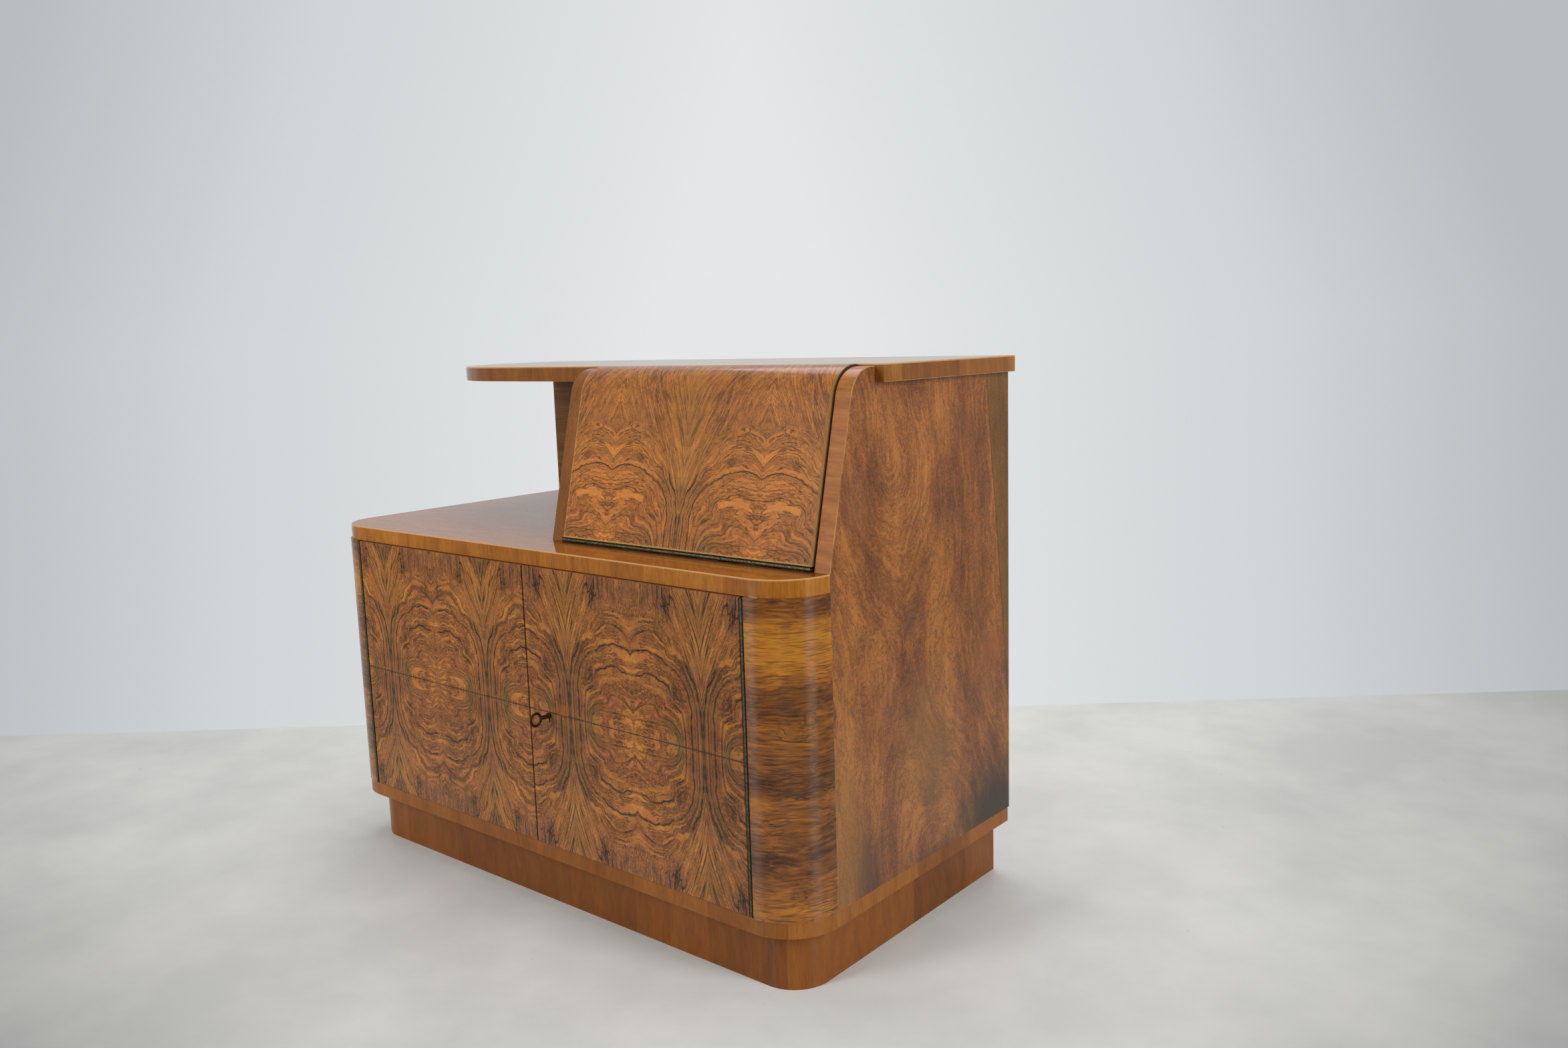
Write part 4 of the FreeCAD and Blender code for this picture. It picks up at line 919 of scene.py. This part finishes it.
lock_spots = on_plate("lock_plate", (0, 1, 0), (6, 0, 5), 2.6)
left_spots, keeper_spots = on_plate("strike_plate", (1, 0, 0), (0, 0, 4), 2.2), []
for bolt, way in (("top_bolt", -1), ("bottom_bolt", 1)):
    left_spots += on_plate(bolt + "_case", (0, 1, 0), (0, 0, 4.5), 1.9)
    keeper_spots += on_plate(bolt + "_keeper", (0, 0, way), (3.5, 0, 0), 1.9)
for name, body, spots, seed in (("right_door_screws", "right_door_body", lock_spots, 11),
        ("left_door_screws", "left_door_body", left_spots, 12),
        ("flap_screws", "flap_body", [], 13),
        ("frame_screws", "carcass", keeper_spots, 14)):
    drive_screws(name, body, spots + hinge_spots[body], "fitting_brass", seed)
    print(name, len(spots + hinge_spots[body]))

# %% [markdown]
# ## Plywood back
# The back is a sheet of plywood, held all round by steel screws. A maker bores for the heads, so that
# nothing scratches the wall behind. The points that carry the screws carry the bores too, and a
# boolean takes them out of the sheet.

# %% Plywood back
def bored_sheet_group():
    tree, given = new_group("bored_sheet", Size="Vector", Middle="Vector")
    sheet = add("GeometryNodeTransform", add("GeometryNodeMeshCube", given["Size"]), given["Middle"])
    bore = add("GeometryNodeMeshCone", into={"Vertices": 16, "Radius Top": 1.25, "Radius Bottom": 1.02,
        "Depth": 0.4})
    bores = on_points(given, bore, noted("size"), stood_up())
    add("NodeGroupOutput", add("GeometryNodeMeshBoolean DIFFERENCE", sheet, bores))
    return tree


sunk = 0.95                     # mm, from the plywood's face to the foot of a head
edge_x, edge_z = 10.0, 9.0      # mm, from the sheet's edges to the rows of screws
low, high = box_mm("lower_back_panel")
left, right, foot, top = low[0] + edge_x, high[0] - edge_x, low[2] + edge_z, high[2] - edge_z
places = [(left + (right - left) * i / 8, z) for i in range(9) for z in (foot, top)]
places += [(x, foot + (top - foot) * i / 4) for i in range(1, 4) for x in (left, right)]
spots = [((x, high[1] - sunk, z), (0, 1, 0), 3.2) for x, z in places]
sheet = put("bored_back", at_spots("bored_back", spots, bored_sheet_group(), {
    "Size": [(b - a) / 1000 for a, b in zip(low, high)],
    "Middle": [(a + b) / 2000 for a, b in zip(low, high)]}), "carcass", "plywood", ("lower_back_panel",))
drive_screws("back_screws", "carcass", spots, "steel", 15)
bpy.data.objects.remove(head)
print("the bored back has", len(sheet.data.polygons), "faces and", len(spots), "steel screws")

# %% [markdown]
# ## Key
# The key is forged from one piece of iron: a ring to hold, a collar that stops against the lock, a
# hollow shank and a bit with a notch. The ring and the shank are each an outline spun round an axis,
# as they would be on a lathe.

# %% Key
low, high = box_mm("key")
key_x, key_z = 44.0, 306.0          # mm, the key's axis
bow_radius, wire = 11.0, 1.75       # mm, the radius of the whole ring and of its wire
flatness = 1.2                      # the ring is hammered a little wider than it is thick
bow_y, collar_y, tip_y = low[1] + bow_radius, -260.15, high[1]

# The turned part as (radius, place along it). It has its collar at 13.7 and its tip at 26.2, and each
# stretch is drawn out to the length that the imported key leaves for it.
turned = [(0, -0.6), (2, -0.6), (2.9, 0.6), (3, 9.6), (3, 10.4), (4, 10.9), (4.4, 11.6), (4.55, 12.4),
    (4.3, 13.2), (3.1, 13.7), (2.95, 14.2), (2.95, 26.2), (1.8, 26.2), (1.8, 20.0), (0.0, 20.0)]
collar_at, tip_at = 13.7, 26.2


def spun(shape, outline, centre, axis, steps):
    """Spins an outline of points round an axis, all in millimetres."""
    points = [shape.verts.new(Vector(p)) for p in outline]
    edges = [shape.edges.new(points[i:i + 2]) for i in range(len(points) - 1)]
    bmesh.ops.spin(shape, geom=points + edges, cent=centre, axis=axis, angle=2 * math.pi, steps=steps,
        use_merge=True)


shape = bmesh.new()
ring = [(key_x + wire * math.sin(a), bow_y, key_z + bow_radius - flatness * wire * (1.01 - math.cos(a)))
    for a in [2 * math.pi * i / 12 for i in range(13)]]
spun(shape, ring, (key_x, bow_y, key_z), (1, 0, 0), 40)
start = bow_y + bow_radius - 2 * wire + 1.2     # inside the ring's wire
outline = []
for radius, along in turned:
    if along <= collar_at:
        y = start + along * (collar_y - start) / collar_at
    else:
        y = collar_y + (along - collar_at) * (tip_y - collar_y) / (tip_at - collar_at)
    outline.append((key_x, y, key_z + radius))
spun(shape, outline, (key_x, 0, key_z), (0, 1, 0), 24)
half_bit = 1.15                     # mm, half the bit's thickness
bit = [(tip_y - back, z) for back, z in ((0.5, -1.6), (0.5, -8.9), (2.7, -8.9), (2.7, -5.8), (4.1, -5.8),
    (4.1, -8.9), (6.9, -8.9), (6.9, -1.6))]
block(shape, *[[(key_x + side * half_bit, y, key_z + z) for y, z in bit] for side in (-1, 1)])
bmesh.ops.remove_doubles(shape, verts=shape.verts, dist=0.005)
shape.transform(Matrix.Scale(0.001, 4))
key = put("ring_key", shape, "key_body", "key_iron", ("key",))
for face in key.data.polygons:
    face.use_smooth = len(face.vertices) == 4
print("the key's box in mm", low, high)

# %% [markdown]
# ## Floor, wall and light
# The cabinet stands on a painted floor before a pale wall. The wall is only a colour of the world that
# cameras and mirrors see. For all other light a dim even fill takes its place, so that it doesn't wash
# out the polish. Two tall soft lamps draw long highlights on the round corner; a wide one hangs above.

# %% Floor
look = Vector((-math.sin(math.radians(camera_turn)), math.cos(math.radians(camera_turn)), 0))
beside = Vector((look.y, -look.x, 0))
wall_distance, floor_depth, half_floor = 0.73, 7.0, 6.0     # m, from the cabinet's middle
fill_strength, lit_point = 0.34, Vector((0, 0, 0.4))        # the even light, and what the lamps aim at

material, place = new_finish("pale_painted_floor")
stains = add("TexNoise", place, 1 / 320, 6, 0.6)
colour = add("ValToRGB", stains, stops=((0.38, "#BFC0BD"), (0.62, "#CBCBC8")))
# painted light: the floor is painted brighter towards the wall and in the middle, as a pool of light falling
# there
back = add("VectorMath DOT_PRODUCT", place, tuple(look))
aside = add("SUBTRACT", add("VectorMath DOT_PRODUCT", place, tuple(beside)), 200)
lit_width = add("MAXIMUM", add("MapRange", back, -500, 700, 1200, 2600, clamp=False), 700)
aside = add("DIVIDE", aside, lit_width)
light_falloff = add("EXPONENT", add("MULTIPLY", aside, aside, -1))
lit_amount = add("MAXIMUM", add("MapRange", back, -500, 700, 1.2, 1.52, clamp=False), 0.7)
lit_amount = add("MULTIPLY", lit_amount, add("MAXIMUM", light_falloff, 0.4))
colour = add("VectorMath SCALE", colour, lit_amount)
scuffs = add("MapRange", add("TexNoise", place, 1 / 24, 3), 0.27, 0.22, 0, 0.4)
shaded(material, {"Base Color": tinted(colour, (scuffs, "#9A9B98")), "Roughness": 0.5,
    "IOR": 1.45, "Specular IOR Level": 0.25})

corners = [look * away + beside * aside for away, aside in (
    (-floor_depth, -half_floor), (-floor_depth, half_floor), (wall_distance, half_floor),
    (wall_distance, -half_floor))]
mesh = bpy.data.meshes.new("floor")
mesh.from_pydata([tuple(c) for c in corners], [], [(0, 1, 2, 3)])
mesh.materials.append(material)
placed("floor", mesh)
print("the wall stands", wall_distance, "m behind the cabinet's middle")

# %% Wall and light
world = bpy.data.worlds.new("studio")
bpy.context.scene.world = world
world.use_nodes = True
add.tree = world.node_tree
add.tree.nodes.clear()
way = add("TexCoord", out="Generated")
towards = add("VectorMath DOT_PRODUCT", way, tuple(look))
sideways = add("ADD", add("VectorMath DOT_PRODUCT", way, tuple(beside)), 0.02)
upwards = add("MAXIMUM", add("SeparateXYZ", way, out="Z"), 0)
sideways = summed(add("ABSOLUTE", sideways), (upwards, 0.4))
# painted light: the wall is painted lightest behind the cabinet and darker to the sides and upwards, as the
# fall of light on it
wall_light = add("ValToRGB", add("MapRange", sideways, 0.08, 0.55),
    stops=((0.0, "#E4E6E7"), (0.66, "#D1D4D6"), (1.0, "#B9BDC1")))
seen, glossy, through = [add("LightPath", out=label) for label in (
    "Is Camera Ray", "Is Glossy Ray", "Is Transmission Ray")]
glossy = add("MULTIPLY", glossy, add("MapRange SMOOTHSTEP", towards, 0.2, 0.8))
seen = add("MAXIMUM", seen, glossy, through)
add("OutputWorld", add("MixShader", seen, add("Background", "#FFFFFF", fill_strength),
    add("Background", wall_light, 1)))

for name, place, size, watts in (("front_softbox", (-0.77, -2.9, 1.5), (0.9, 1.8), 62),
        ("right_softbox", (3.2, -0.1, 1.5), (0.9, 1.8), 62),
        ("ceiling_softbox", (-0.5, 1.0, 3.2), (2.4, 2.4), 46)):
    lamp = placed(name, bpy.data.lights.new(name, "AREA"))
    lamp.data.shape = "RECTANGLE"
    lamp.data.size, lamp.data.size_y = size
    lamp.data.energy = watts
    lamp.location = place
    lamp.rotation_euler = (Vector(place) - lit_point).to_track_quat("Z", "Y").to_euler()
    print(name, watts, "W")
bpy.context.scene.view_settings.view_transform = "Standard"
